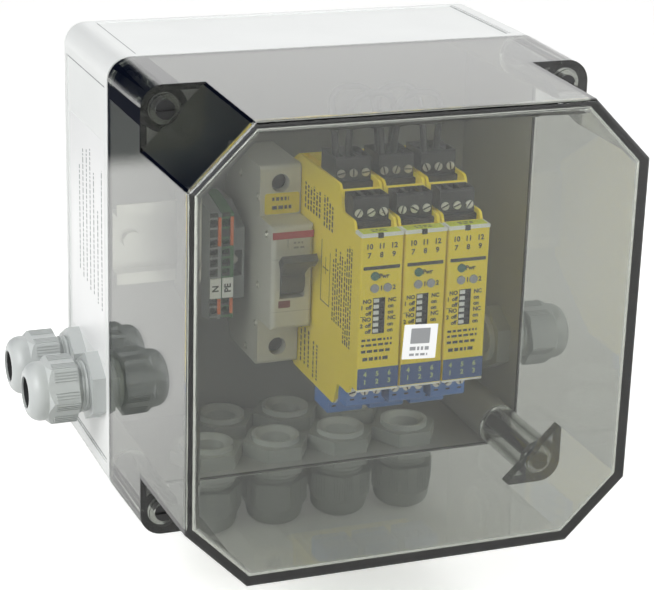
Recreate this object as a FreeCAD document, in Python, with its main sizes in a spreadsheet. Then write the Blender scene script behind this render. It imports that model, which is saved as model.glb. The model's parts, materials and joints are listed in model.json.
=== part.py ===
import FreeCAD, Part
import math
import os
import re
import Sketcher
from FreeCAD import Placement, Rotation, Vector

# Wall-mounted isolating relay unit: a moulded box with a clear lid, cable glands and, on a rail inside,
# three isolating relays, a circuit breaker, two feed-through terminals and an end bracket.
# Frame: origin at the centre of the back face, X to the right, -Y to the front, +Z up. Millimetres.
# "depth" in every formula is the distance in front of the wall, so Y = -depth.

doc = FreeCAD.newDocument("isolating_relay_unit")

# Driving sizes
sizes = {
    # base and lid
    "boxWidth": 182.0, "boxHeight": 180.0, "baseDepth": 69.0, "lidDepth": 96.0, "ledgeDepth": 41.0,
    "baseWall": 3.0, "backWall": 3.0, "lidWall": 3.0, "cornerRound": 9.0, "backRound": 3.0,
    "draftInset": 2.1, "cornerCut": 25.0, "panelMargin": 12.0, "panelRecess": 0.7, "rimBand": 5.0,
    "frontRound": 1.6, "innerRound": 2.6,
    "gasketThick": 1.2, "gasketInset": 0.6, "gasketWidth": 2.4,
    # corner columns and lid screws
    "screwInset": 10.2, "columnRadius": 9.0, "lidColumnBore": 6.0, "baseColumnBore": 4.8,
    "fixingRadius": 2.5, "fixingLength": 8.0, "bossRadius": 5.85, "bossHeight": 0.8,
    "headRadius": 3.65, "headLength": 2.0, "shankRadius": 3.0, "footRadius": 4.4, "footLength": 10.0,
    "screwReach": 14.0, "slotWidth": 1.2, "slotDepth": 1.0, "runningGap": 0.1,
    # cable glands
    "glandPitch": 29.3, "glandRowBack": 22.0, "glandRowFront": 51.0,
    "sideGlandBack": 19.0, "sideGlandFront": 49.0, "sideGlandHeight": -49.2,
    "rightGlandDepth": 48.0, "rightGlandHeight": -47.0,
    "threadRadius": 10.0, "threadGap": 0.15, "glandBore": 8.0, "hexFlats": 25.0, "flangeLength": 5.5,
    "neckLength": 5.0, "capFlats": 24.0, "capLength": 12.4, "capOverlap": 6.0, "domeLength": 7.2,
    "domeRound": 5.2, "capBevel": 2.0, "capHole": 6.5, "tipLength": 0.8, "sealGap": 0.1,
    "mouthRadius": 8.6, "mouthDepth": 1.9,
    "locknutLength": 6.0, "spigotLength": 10.5,
    # mounting rail
    "railCentre": -3.0, "railWidth": 35.0, "railHeight": 7.5, "railHat": 27.0, "railThick": 1.0,
    "railLength": 140.0, "railPad": 2.5, "railPadRadius": 6.0, "railScrewInset": 8.0,
    "railScrewRadius": 2.0, "railScrewHead": 4.0, "railScrewHeadLength": 2.4, "railScrewBite": 4.0,
    "hookGap": 0.2, "hookLip": 1.5, "hookThick": 1.8, "hookHeight": 3.5,
    # circuit breaker
    "breakerWidth": 17.5, "breakerHeight": 85.0, "breakerShoulder": 42.0, "breakerNose": 58.0,
    "breakerNoseHeight": 43.5, "breakerBack": 7.0, "breakerRound": 2.0, "deviceGap": 0.15,
    "terminalHole": 3.8, "terminalHoleDepth": 8.0, "terminalHeight": 35.0,
    "terminalScrew": 3.4, "terminalScrewLength": 4.0,
    "togglePivot": 5.0, "toggleDrop": 1.5, "toggleAngle": 42.0, "toggleHub": 6.5, "toggleWidth": 9.9,
    "toggleReach": 18.5, "toggleBar": 5.5, "toggleBarWidth": 14.6, "toggleThick": 3.2,
    "toggleGap": 0.3, "toggleMouth": 14.2,
    "trunnionRadius": 1.6, "trunnionWidth": 13.5, "trunnionGap": 0.05,
    "latchWidth": 8.0, "latchThick": 6.0, "latchTab": 2.5, "latchGap": 0.2,
    # isolating relays
    "relayPitch": 18.0, "relayWidth": 17.3, "relaysLeft": -7.3, "relayDepth": 107.0, "relayHeight": 91.0,
    "relayStepHeight": 70.6, "relayNoseHeight": 62.0, "relayBackHeight": 48.0, "relayBackSlope": 37.4,
    "relayTallSetback": 22.0, "relayStepSetback": 8.5, "relayStepSlope": 2.0, "sideWall": 1.1,
    "tallEarRound": 3.0, "stepEarRound": 2.5, "relayEdgeRound": 0.8,
    "endGroove": 2.8, "endGrooveDeep": 2.0,
    "plugFrontDepth": 11.6, "plugRearDepth": 18.4, "plugHeight": 11.8, "plugGap": 0.2, "plugRise": 7.9,
    "plugRearSetback": 29.5, "plugFrontSetback": 10.2, "plugFrontDrop": 10.3, "plugSetback": 2.6,
    "plugLip": 2.4, "plugChamfer": 0.8, "polePitch": 5.08, "poleScrew": 1.75, "poleScrewProud": 0.6,
    "poleScrewHeight": 5.5, "ledgeThick": 1.2,
    "entryWidth": 3.4, "entryLength": 6.8, "entryDeep": 5.0, "entrySetback": 4.8,
    "clipHeight": 1.3, "clipLength": 6.4, "cardInset": 0.9, "cardThick": 0.3,
    "lampRadius": 1.7, "lampLength": 3.4, "lampProud": 0.4, "lampGap": 0.05,
    "lampSpread": 2.65, "powerLampHeight": 15.4, "stateLampHeight": 10.5,
    "dipShift": -0.5, "dipHeight": -0.8, "dipWidth": 5.1, "dipPitch": 2.45, "dipDeep": 4.4,
    "dipSunk": 0.4,
    "dipChannel": 4.3, "dipChannelHeight": 1.6, "dipChannelDeep": 1.3,
    "sliderWidth": 2.1, "sliderHeight": 1.4, "sliderDeep": 1.5, "sliderGap": 0.05,
    # terminals and end bracket
    "terminalPitch": 5.2, "terminalWidth": 5.0, "terminalDepth": 37.0, "terminalSpan": 44.8,
    "terminalShoulder": 20.0, "bracketWidth": 5.6, "bracketDepth": 34.0, "bracketSpan": 30.0,
    "bracketSlot": 11.0, "bracketSlotDeep": 8.0, "bracketClear": 3.4, "bracketScrew": 1.6,
    "wireEntry": 1.5, "wireEntryDeep": 9.0, "wireEntryHeight": 18.6, "wireEntryShift": -0.8,
    "testSlot": 2.6, "testSlotHeight": 2.0, "testSlotDeep": 5.0, "testSlotPitch": 4.2,
    "testSlotStart": 10.6,
    "pusherWidth": 1.2, "pusherLength": 9.0, "pusherProud": 0.6, "pusherTravel": 1.5, "pusherGap": 0.1,
    "pusherUpperLow": 9.0, "pusherUpperHigh": 21.0, "pusherLowerLow": -20.2, "pusherLowerHigh": -13.8,
    "tagWidth": 4.5, "tagHeight": 8.4, "tagThick": 0.8, "tagDrop": 9.0,
    # link wires
    "wireRadius": 1.4, "wireSplit": 1.75, "wireStub": 5.5, "wireRise": 22.1,
    "liveLean": 8.0, "neutralLean": 5.0,
}

sheet = doc.addObject("Spreadsheet::Sheet", "Sizes")
for row, (alias, value) in enumerate(sizes.items(), 1):
    sheet.set("A%d" % row, alias)
    sheet.set("B%d" % row, str(value))
    sheet.setAlias("B%d" % row, alias)
doc.recompute()


def size(alias):
    return float(sheet.get(alias))


def formula(text):
    def qualify(word):
        return "Sizes." + word.group(0) if word.group(0) in sizes else word.group(0)
    return re.sub(r"[A-Za-z]\w*", qualify, str(text))


def minus(text):
    return "-(%s)" % text


def rectangle(across, up):
    return [(across[0], up[0]), (across[1], up[0]), (across[1], up[1]), (across[0], up[1])]


# Sketches and the features made from them

def origin_plane(body, role):
    return [plane for plane in body.Origin.OriginFeatures if plane.Role == role][0]


def bind_point(drawing, geometry, position, point):
    for kind, text in zip(("DistanceX", "DistanceY"), point):
        index = drawing.addConstraint(Sketcher.Constraint(kind, -1, 1, geometry, position, 1.0))
        drawing.setExpression("Constraints[%d]" % index, formula(text))


def add_polygon(drawing, outline):
    first = drawing.GeometryCount
    count = len(outline)
    turns = [Rotation(Vector(0, 0, 1), 360.0 * i / count) for i in range(count)]
    corners = [turn.multVec(Vector(1, 0, 0)) for turn in turns]
    for i in range(count):
        drawing.addGeometry(Part.LineSegment(corners[i], corners[(i + 1) % count]))
    for i in range(count):
        drawing.addConstraint(Sketcher.Constraint("Coincident", first + i, 2, first + (i + 1) % count, 1))
    for i, point in enumerate(outline):
        bind_point(drawing, first + i, 1, point)


def add_circle(drawing, across, up, radius):
    index = drawing.addGeometry(Part.Circle(Vector(0, 0, 0), Vector(0, 0, 1), 1.0))
    bind_point(drawing, index, 3, (across, up))
    constraint = drawing.addConstraint(Sketcher.Constraint("Radius", index, 1.0))
    drawing.setExpression("Constraints[%d]" % constraint, formula(radius))


def sketch(body, role, offset, outlines, circles):
    drawing = body.newObject("Sketcher::SketchObject", body.Name + "_sketch")
    drawing.AttachmentSupport = [(origin_plane(body, role), "")]
    drawing.MapMode = "FlatFace"
    drawing.setExpression("AttachmentOffset.Base.z", formula(offset))
    for outline in outlines:
        add_polygon(drawing, outline)
    for circle in circles:
        add_circle(drawing, *circle)
    return drawing


def feature(kind, body, role, offset, length, outlines=(), circles=(), taper=None):
    drawing = sketch(body, role, offset, outlines, circles)
    made = body.newObject("PartDesign::" + kind, body.Name + "_" + kind.lower())
    made.Profile = drawing
    made.setExpression("Length", formula(length))
    if taper is not None:
        made.setExpression("TaperAngle", formula(taper))
    doc.recompute()
    return made


def pad(body, role, offset, length, **shape):
    return feature("Pad", body, role, offset, length, **shape)


def pocket(body, role, offset, length, **shape):
    before = body.Shape.Volume
    made = feature("Pocket", body, role, offset, length, **shape)
    assert body.Shape.Volume < before - 1e-6, "%s removes nothing" % made.Name
    return made


def fillet(body, radius, chosen):
    base = body.Tip
    names = ["Edge%d" % i for i, edge in enumerate(base.Shape.Edges, 1) if chosen(edge)]
    made = body.newObject("PartDesign::Fillet", body.Name + "_fillet")
    made.Base = (base, names)
    made.setExpression("Radius", formula(radius))
    doc.recompute()
    return made


def groove(body, outline):
    made = body.newObject("PartDesign::Groove", body.Name + "_groove")
    made.Profile = sketch(body, "XZ_Plane", "0", [outline], ())
    made.ReferenceAxis = (made.Profile[0], ["V_Axis"])
    doc.recompute()
    return made


def new_body(name):
    body = doc.addObject("PartDesign::Body", name)
    body.Label = name
    return body


# Primitives placed by formulas

def block(name, across, depth, up):
    solid = doc.addObject("Part::Box", name)
    forward = (minus(depth[1]), minus(depth[0]))
    spans = (("Length", "x", across), ("Width", "y", forward), ("Height", "z", up))
    for length, axis, (low, high) in spans:
        solid.setExpression(length, formula("(%s) - (%s)" % (high, low)))
        solid.setExpression("Placement.Base." + axis, formula(low))
    return solid


def rod_along_depth(name, radius, depth, at):
    solid = doc.addObject("Part::Cylinder", name)
    solid.Placement = Placement(Vector(0, 0, 0), Rotation(Vector(1, 0, 0), 90))
    solid.setExpression("Radius", formula(radius))
    solid.setExpression("Height", formula("(%s) - (%s)" % (depth[1], depth[0])))
    place(solid, at[0], depth[0], at[1])
    return solid


def rod_up(name, radius, low, high):
    solid = doc.addObject("Part::Cylinder", name)
    solid.setExpression("Radius", formula(radius))
    solid.setExpression("Height", formula("(%s) - (%s)" % (high, low)))
    solid.setExpression("Placement.Base.z", formula(low))
    return solid


def cone_up(name, low_radius, high_radius, low, high):
    solid = doc.addObject("Part::Cone", name)
    solid.setExpression("Radius1", formula(low_radius))
    solid.setExpression("Radius2", formula(high_radius))
    solid.setExpression("Height", formula("(%s) - (%s)" % (high, low)))
    solid.setExpression("Placement.Base.z", formula(low))
    return solid


def hexagon_up(name, flats, low, high):
    solid = doc.addObject("Part::Prism", name)
    solid.Polygon = 6
    solid.setExpression("Circumradius", formula("(%s) / 2 / cos(30 deg)" % flats))
    solid.setExpression("Height", formula("(%s) - (%s)" % (high, low)))
    solid.setExpression("Placement.Base.z", formula(low))
    return solid


def place(solid, across, depth, up):
    solid.setExpression("Placement.Base.x", formula(across))
    solid.setExpression("Placement.Base.y", formula(minus(depth)))
    solid.setExpression("Placement.Base.z", formula(up))


def join(name, *pieces):
    solid = doc.addObject("Part::MultiFuse", name)
    solid.Shapes = list(pieces)
    solid.Refine = True
    solid.Label = name
    return solid


def cut(name, base, *tools):
    solid = doc.addObject("Part::Cut", name)
    solid.Base = base
    solid.Tool = tools[0] if len(tools) == 1 else join(name + "_tools", *tools)
    solid.Label = name
    return solid


def group(name, pieces):
    made = doc.addObject("Part::Compound", name)
    made.Links = list(pieces)
    made.Label = name
    return made


def copy_at(master, name, turn, across, depth, up):
    copy = doc.addObject("App::Link", name)
    copy.LinkedObject = master
    copy.Placement = Placement(Vector(0, 0, 0), turn)
    place(copy, across, depth, up)
    return copy


nodes = []


def node(made):
    nodes.append(made)
    return made


# Places that several pieces share
half_width = "boxWidth/2"
half_height = "boxHeight/2"
base_front = "(baseDepth - gasketThick)"
ledge_front = "(baseDepth + ledgeDepth)"
lid_front = "(baseDepth + lidDepth)"
draft_slope = "(draftInset/lidDepth)"
draft_angle = "atan(draftInset/lidDepth)"
screw_across = "(boxWidth/2 - screwInset)"
screw_up = "(boxHeight/2 - screwInset)"
rail_back = "(backWall + railPad)"
rail_front = "(backWall + railPad + railHeight)"
rail_screw_at = "(railLength/2 - railScrewInset)"
corners = [(minus(screw_across), screw_up), (screw_across, screw_up),
           (minus(screw_across), minus(screw_up)), (screw_across, minus(screw_up))]


def corner_circles(radius):
    return [(across, up, radius) for across, up in corners]


def octagon(inset):
    wide = "(%s - %s)" % (half_width, inset)
    tall = "(%s - %s)" % (half_height, inset)
    leg = "(cornerCut - %s*(2 - sqrt(2)))" % inset
    return [(minus(wide) + " + " + leg, minus(tall)), (wide + " - " + leg, minus(tall)),
            (wide, minus(tall) + " + " + leg), (wide, tall + " - " + leg),
            (wide + " - " + leg, tall), (minus(wide) + " + " + leg, tall),
            (minus(wide), tall + " - " + leg), (minus(wide), minus(tall) + " + " + leg)]


def centred(wide, tall):
    return rectangle((minus(wide), wide), (minus(tall), tall))


def runs_along_depth(edge):
    start, end = edge.Vertexes[0].Point, edge.Vertexes[-1].Point
    return abs(start.y - end.y) > 5 * max(abs(start.x - end.x), abs(start.z - end.z))


def corner_at(inset):
    wide, tall = size("boxWidth") / 2 - inset, size("boxHeight") / 2 - inset

    def chosen(edge):
        middle = edge.CenterOfMass
        off_corner = max(abs(abs(middle.x) - wide), abs(abs(middle.z) - tall))
        return edge.Length > 1 and runs_along_depth(edge) and off_corner < 0.01
    return chosen


# Cable gland positions: (name, turn of the gland's outward axis, across, depth, up)
downwards = Rotation(Vector(1, 0, 0), 180)
leftwards = Rotation(Vector(0, 1, 0), -90)
rightwards = Rotation(Vector(0, 1, 0), 90)
bottom_seat = minus("boxHeight/2 - panelRecess")
side_seat = "(boxWidth/2 - panelRecess)"
front_row = [("bottom_front_%d" % i, downwards, "%g*glandPitch" % (i - 2.5), "glandRowFront", bottom_seat)
             for i in (1, 2, 3, 4)]
back_row = [("bottom_back_%d" % i, downwards, "%g*glandPitch" % (i - 2), "glandRowBack", bottom_seat)
            for i in (1, 2, 3)]
side_glands = [("left_front", leftwards, minus(side_seat), "sideGlandFront", "sideGlandHeight"),
               ("left_back", leftwards, minus(side_seat), "sideGlandBack", "sideGlandHeight"),
               ("right_front", rightwards, side_seat, "rightGlandDepth", "rightGlandHeight")]
gland_places = front_row + back_row + side_glands
# Degrees each cap nut stands turned about its own axis, in the same order
cap_turns = [10, 21, 41, 58, 15, 35, 50, 25, 25, 40]


# Base of the box: one moulding with corner columns, rail pads, panel recesses and gland holes

def make_base():
    base = new_body("enclosure_base")
    pad(base, "XZ_Plane", "0", base_front, outlines=[centred(half_width, half_height)])
    fillet(base, "cornerRound", runs_along_depth)
    fillet(base, "backRound", lambda edge: max(abs(v.Point.y) for v in edge.Vertexes) < 1e-6)
    inner = centred("(boxWidth/2 - baseWall)", "(boxHeight/2 - baseWall)")
    pocket(base, "XZ_Plane", base_front, base_front + " - backWall", outlines=[inner])
    fillet(base, "cornerRound - baseWall", corner_at(size("baseWall")))
    pad(base, "XZ_Plane", "backWall", base_front + " - backWall", circles=corner_circles("columnRadius"))
    pocket(base, "XZ_Plane", base_front, base_front + " - fixingLength",
           circles=corner_circles("baseColumnBore"))
    pocket(base, "XZ_Plane", base_front, base_front, circles=corner_circles("fixingRadius"))
    rail_ends = [(side + rail_screw_at, "railCentre") for side in ("-", "")]
    pad(base, "XZ_Plane", "backWall", "railPad", circles=[end + ("railPadRadius",) for end in rail_ends])
    pocket(base, "XZ_Plane", rail_back, "railScrewBite",
           circles=[end + ("railScrewRadius",) for end in rail_ends])
    depth_span = (minus("baseDepth - rimBand"), minus("rimBand"))
    up_span = (minus("boxHeight/2 - panelMargin"), "boxHeight/2 - panelMargin")
    across_span = (minus("boxWidth/2 - panelMargin"), "boxWidth/2 - panelMargin")
    side_panel = [rectangle(depth_span, up_span)]
    flat_panel = [rectangle(across_span, depth_span)]
    pocket(base, "YZ_Plane", half_width, "panelRecess", outlines=side_panel)
    pocket(base, "YZ_Plane", minus(side_seat), "panelRecess", outlines=side_panel)
    pocket(base, "XY_Plane", half_height, "panelRecess", outlines=flat_panel)
    pocket(base, "XY_Plane", bottom_seat, "panelRecess", outlines=flat_panel)
    hole = "threadRadius + threadGap"
    left_holes = [(minus(depth), up, hole) for _, _, _, depth, up in side_glands[:2]]
    right_holes = [(minus(depth), up, hole) for _, _, _, depth, up in side_glands[2:]]
    bottom_holes = [(across, minus(depth), hole) for _, _, across, depth, _ in front_row + back_row]
    pocket(base, "YZ_Plane", minus("boxWidth/2 - baseWall"), "baseWall", circles=left_holes)
    pocket(base, "YZ_Plane", half_width, "baseWall", circles=right_holes)
    pocket(base, "XY_Plane", minus("boxHeight/2 - baseWall"), "baseWall", circles=bottom_holes)
    return base


# Seal that lies between the two rims

def make_gasket():
    gasket = new_body("lid_gasket")
    outer_edge, inner_edge = "gasketInset", "(gasketInset + gasketWidth)"
    outer = centred("(boxWidth/2 - %s)" % outer_edge, "(boxHeight/2 - %s)" % outer_edge)
    inner = centred("(boxWidth/2 - %s)" % inner_edge, "(boxHeight/2 - %s)" % inner_edge)
    pad(gasket, "XZ_Plane", base_front, "gasketThick", outlines=[outer])
    pocket(gasket, "XZ_Plane", "baseDepth", "gasketThick", outlines=[inner])
    fillet(gasket, "cornerRound - " + inner_edge, corner_at(size("gasketInset") + size("gasketWidth")))
    fillet(gasket, "cornerRound - " + outer_edge, corner_at(size("gasketInset")))
    return gasket


def lies_at(depth):
    return lambda edge: all(abs(end.Point.y + depth) < 1e-3 for end in edge.Vertexes)


# Clear lid: drafted rim part, octagonal front, a ledge and a hollow screw column at each corner

def make_lid():
    lid = new_body("lid")
    pad(lid, "XZ_Plane", "baseDepth", "ledgeDepth", outlines=[centred(half_width, half_height)],
        taper=minus(draft_angle))
    fillet(lid, "cornerRound", runs_along_depth)
    pad(lid, "XZ_Plane", ledge_front, "lidDepth - ledgeDepth", taper=minus(draft_angle),
        outlines=[octagon("(ledgeDepth*%s)" % draft_slope)])
    front = size("baseDepth") + size("lidDepth")
    fillet(lid, "frontRound", lies_at(front))
    pad(lid, "XZ_Plane", ledge_front, "bossHeight", circles=corner_circles("bossRadius"))
    pocket(lid, "XZ_Plane", lid_front + " - lidWall", "lidDepth - lidWall", taper=draft_angle,
           outlines=[octagon("(lidWall + (lidDepth - lidWall)*%s)" % draft_slope)])
    fillet(lid, "innerRound", lies_at(front - size("lidWall")))
    rear_inset = "(lidWall + (ledgeDepth - lidWall)*%s)" % draft_slope
    pocket(lid, "XZ_Plane", ledge_front + " - lidWall", "ledgeDepth - lidWall", taper=draft_angle,
           outlines=[centred("(boxWidth/2 - %s)" % rear_inset, "(boxHeight/2 - %s)" % rear_inset)])
    pad(lid, "XZ_Plane", "baseDepth", "ledgeDepth - lidWall", circles=corner_circles("columnRadius"))
    pocket(lid, "XZ_Plane", ledge_front + " - lidWall", "ledgeDepth - lidWall",
           circles=corner_circles("lidColumnBore"))
    pocket(lid, "XZ_Plane", ledge_front + " + bossHeight", "headLength",
           circles=corner_circles("headRadius + runningGap"))
    pocket(lid, "XZ_Plane", ledge_front + " + bossHeight", "bossHeight + lidWall",
           circles=corner_circles("shankRadius + runningGap"))
    return lid


# Captive quarter-turn lid screw: slotted head, shank and foot

def make_lid_screw(index, across, up):
    name = "lid_screw_%d" % index
    head_front = ledge_front + " + bossHeight"
    head_back = head_front + " - headLength"
    end = "baseDepth - screwReach"
    at = (across, up)
    head = rod_along_depth(name + "_head", "headRadius", (head_back, head_front), at)
    shank = rod_along_depth(name + "_shank", "shankRadius", (end, head_back), at)
    foot = rod_along_depth(name + "_foot", "footRadius", (end, end + " + footLength"), at)
    slot = block(name + "_slot", ("%s - headRadius" % across, "%s + headRadius" % across),
                 (head_front + " - slotDepth", head_front + " + slotDepth"),
                 ("%s - slotWidth/2" % up, "%s + slotWidth/2" % up))
    return cut(name, join(name + "_blank", head, shank, foot), slot)


# Cable gland pieces, each made once about the gland's own axis with the seat on the wall at zero

cap_low = "(flangeLength + neckLength)"
body_end = "(flangeLength + neckLength + capOverlap)"
cap_high = "(flangeLength + neckLength + capLength)"
dome_end = "(flangeLength + neckLength + capLength + domeLength)"
wall_inside = "(baseWall - panelRecess)"


def gland_body():
    flange = hexagon_up("gland_flange", "hexFlats", "0", "flangeLength")
    thread = rod_up("gland_thread", "threadRadius", "-spigotLength", body_end)
    seal_seat = rod_up("gland_seal_seat", "glandBore", "0", body_end)
    cable_way = rod_up("gland_cable_way", "capHole", "-spigotLength", body_end)
    mouth = cone_up("gland_mouth", "mouthRadius", "capHole", "-spigotLength", "mouthDepth - spigotLength")
    return cut("gland_body", join("gland_body_blank", flange, thread),
               join("gland_body_bore", seal_seat, cable_way, mouth))


def gland_locknut():
    low = minus(wall_inside + " + locknutLength")
    blank = hexagon_up("gland_locknut_blank", "hexFlats", low, minus(wall_inside))
    hole = rod_up("gland_locknut_hole", "threadRadius + threadGap", low, minus(wall_inside))
    return cut("gland_locknut", blank, hole)


def gland_cap_nut():
    cap = new_body("gland_cap_nut")
    centre = ("0", "0")
    corner = "(capFlats/2/cos(30 deg))"
    hexagon = [("%s*cos(%d deg)" % (corner, turn), "%s*sin(%d deg)" % (corner, turn))
               for turn in range(0, 360, 60)]
    pad(cap, "XY_Plane", cap_low, "capLength", outlines=[hexagon])
    groove(cap, [("capFlats/2", cap_high), ("capFlats/2 + capBevel", cap_high + " - capBevel"),
                 ("capFlats/2 + capBevel", cap_high)])
    pad(cap, "XY_Plane", cap_high, "domeLength", circles=[centre + ("capFlats/2",)])
    tip = max(edge.CenterOfMass.z for edge in cap.Shape.Edges)
    fillet(cap, "domeRound", lambda edge: edge.CenterOfMass.z > tip - 0.01)
    pocket(cap, "XY_Plane", body_end, "capOverlap", circles=[centre + ("threadRadius + threadGap",)])
    pocket(cap, "XY_Plane", dome_end + " - tipLength", "capLength + domeLength - capOverlap - tipLength",
           circles=[centre + ("glandBore",)])
    pocket(cap, "XY_Plane", dome_end, "capLength + domeLength", circles=[centre + ("capHole",)])
    return cap


def gland_seal():
    ring = rod_up("gland_seal_ring", "glandBore - sealGap", body_end, dome_end + " - tipLength")
    hole = rod_up("gland_seal_hole", "capHole", body_end, dome_end + " - tipLength")
    return cut("gland_seal", ring, hole)


def gland_group(name, master, spins):
    copies = []
    for (where, turn, across, depth, up), spin in zip(gland_places, spins):
        turned = turn.multiply(Rotation(Vector(0, 0, 1), spin))
        copies.append(copy_at(master, name + "_" + where, turned, across, depth, up))
    return group(name, copies)


# Top-hat mounting rail on two pads, held by two screws

def make_rail():
    rail = new_body("din_rail")
    low, high = "-railWidth/2", "railWidth/2"
    hat, step = "railHat/2", "railHat/2 - railThick"
    back, under = rail_back, rail_back + " + railThick"
    front, brim = rail_front, rail_front + " - railThick"
    half = [(front, high), (front, step), (under, step)]
    outer = [(back, hat), (brim, hat), (brim, high)]
    section = [(d, up) for d, up in half] + [(d, minus(up)) for d, up in reversed(half)]
    section += [(d, minus(up)) for d, up in reversed(outer)] + outer
    outline = [(minus(d), "railCentre + (%s)" % up) for d, up in section]
    pad(rail, "YZ_Plane", "-railLength/2", "railLength", outlines=[outline])
    holes = [(side + rail_screw_at, "railCentre", "railScrewRadius + railThick/4") for side in ("-", "")]
    pocket(rail, "XZ_Plane", rail_back + " + railThick", "railThick", circles=holes)
    return rail


def make_rail_screws():
    screws = []
    for side in ("-", "+"):
        at = (side + rail_screw_at, "railCentre")
        seat = rail_back + " + railThick"
        top = seat + " + railScrewHeadLength"
        head = rod_along_depth("rail_screw_head", "railScrewHead", (seat, top), at)
        shank = rod_along_depth("rail_screw_shank", "railScrewRadius - runningGap/2",
                                (rail_back + " - railScrewBite", seat), at)
        screws.append(join("rail_screw", head, shank))
    return group("rail_screws", screws)


# Outline that clips on the rail, shared by the rail-mounted pieces: (depth, height above the rail centre)

flange_edge = "(railWidth/2 + hookGap)"
lip_front = "(%s - railThick - hookGap)" % rail_front
lip_back = "(%s - railThick - hookGap - hookThick)" % rail_front
hook_outside = "(railWidth/2 + hookGap + hookHeight)"
clip_half = [(rail_front, flange_edge), (lip_front, flange_edge), (lip_front, flange_edge + " - hookLip"),
             (lip_back, flange_edge + " - hookLip"), (lip_back, hook_outside)]


def rail_outline(upper, lower=None):
    lower = upper if lower is None else lower
    top = clip_half + upper
    bottom = clip_half + lower
    points = [(d, up) for d, up in top] + [(d, minus(up)) for d, up in reversed(bottom)]
    return [(minus(d), "railCentre + (%s)" % up) for d, up in points]


def from_rail(text):
    return "(%s + %s)" % (rail_front, text)


def rail_face():
    return size("backWall") + size("railPad") + size("railHeight")


def corner_off_rail(reach, height):
    def chosen(edge):
        off_centre = [abs(end.Point.z - size("railCentre")) for end in edge.Vertexes]
        off_depth = [abs(end.Point.y + rail_face() + reach) for end in edge.Vertexes]
        return max(off_depth) < 0.01 and max(abs(off - height / 2) for off in off_centre) < 0.01
    return chosen


# Circuit breaker

breaker_right = "(relaysLeft - deviceGap)"
breaker_left = "(relaysLeft - deviceGap - breakerWidth)"
breaker_middle = "(relaysLeft - deviceGap - breakerWidth/2)"
pivot_depth = "(%s + breakerNose - togglePivot)" % rail_front
pivot_up = "(railCentre - toggleDrop)"
latch_front = "(%s + latchThick)" % lip_back


def across_middle(middle, width):
    return ("%s - (%s)/2" % (middle, width), "%s + (%s)/2" % (middle, width))


def make_breaker_housing():
    housing = new_body("breaker_housing")
    shoulder, nose = from_rail("breakerShoulder"), from_rail("breakerNose")
    profile = [(from_rail("breakerBack"), "breakerHeight/2"), (shoulder, "breakerHeight/2"),
               (shoulder, "breakerNoseHeight/2"), (nose, "breakerNoseHeight/2")]
    pad(housing, "YZ_Plane", breaker_left, "breakerWidth", outlines=[rail_outline(profile)])
    fillet(housing, "breakerRound", corner_off_rail(size("breakerShoulder"), size("breakerHeight")))
    fillet(housing, "breakerRound", corner_off_rail(size("breakerNose"), size("breakerNoseHeight")))
    ups = ["railCentre + terminalHeight", "railCentre - terminalHeight"]
    pocket(housing, "XZ_Plane", from_rail("breakerShoulder"), "terminalHoleDepth",
           circles=[(breaker_middle, up, "terminalHole") for up in ups])
    hub_space = "toggleWidth + 2*toggleGap"
    pocket(housing, "YZ_Plane", breaker_middle + " + (%s)/2" % hub_space, hub_space,
           circles=[(minus(pivot_depth), pivot_up, "toggleHub + toggleGap")])
    mouth = rectangle((minus(from_rail("breakerNose")), minus(pivot_depth)),
                      (pivot_up + " - toggleMouth/2", pivot_up + " + toggleMouth/2"))
    pocket(housing, "YZ_Plane", breaker_middle + " + (%s)/2" % hub_space, hub_space, outlines=[mouth])
    pin_space = "trunnionWidth + 2*toggleGap"
    pocket(housing, "YZ_Plane", breaker_middle + " + (%s)/2" % pin_space, pin_space,
           circles=[(minus(pivot_depth), pivot_up, "trunnionRadius + trunnionGap")])
    latch_deep = (minus(latch_front + " + latchGap"), minus(lip_back + " - latchGap"))
    latch_up = ("railCentre - breakerHeight/2 - latchTab", "railCentre - railWidth/2 + hookLip + hookGap")
    latch_space = rectangle(latch_deep, latch_up)
    pocket(housing, "YZ_Plane", breaker_middle + " + latchWidth/2 + latchGap", "latchWidth + 2*latchGap",
           outlines=[latch_space])
    return housing


def make_breaker_toggle():
    toggle = new_body("breaker_toggle")

    def along(reach, side):
        turn = "toggleAngle * 1 deg"
        depth = "%s + (%s)*cos(%s) - (%s)*sin(%s)" % (pivot_depth, reach, turn, side, turn)
        up = "%s + (%s)*sin(%s) + (%s)*cos(%s)" % (pivot_up, reach, turn, side, turn)
        return (minus(depth), up)

    def strip(low, high):
        return [along(low, "-toggleThick/2"), along(high, "-toggleThick/2"),
                along(high, "toggleThick/2"), along(low, "toggleThick/2")]

    hub_left = breaker_middle + " - toggleWidth/2"
    pivot = (minus(pivot_depth), pivot_up)
    pad(toggle, "YZ_Plane", hub_left, "toggleWidth", circles=[pivot + ("toggleHub",)])
    pad(toggle, "YZ_Plane", hub_left, "toggleWidth", outlines=[strip("0", "toggleReach")])
    pad(toggle, "YZ_Plane", breaker_middle + " - toggleBarWidth/2", "toggleBarWidth",
        outlines=[strip("toggleReach - toggleBar", "toggleReach")])
    pad(toggle, "YZ_Plane", breaker_middle + " - trunnionWidth/2", "trunnionWidth",
        circles=[pivot + ("trunnionRadius",)])
    return toggle


def make_breaker_screws():
    bottom = from_rail("breakerShoulder - terminalHoleDepth")
    span = (bottom, bottom + " + terminalScrewLength")
    places = [(breaker_middle, "railCentre %s terminalHeight" % side) for side in "+-"]
    return group("breaker_terminal_screws",
                 [rod_along_depth("breaker_screw", "terminalScrew", span, at) for at in places])


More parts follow.
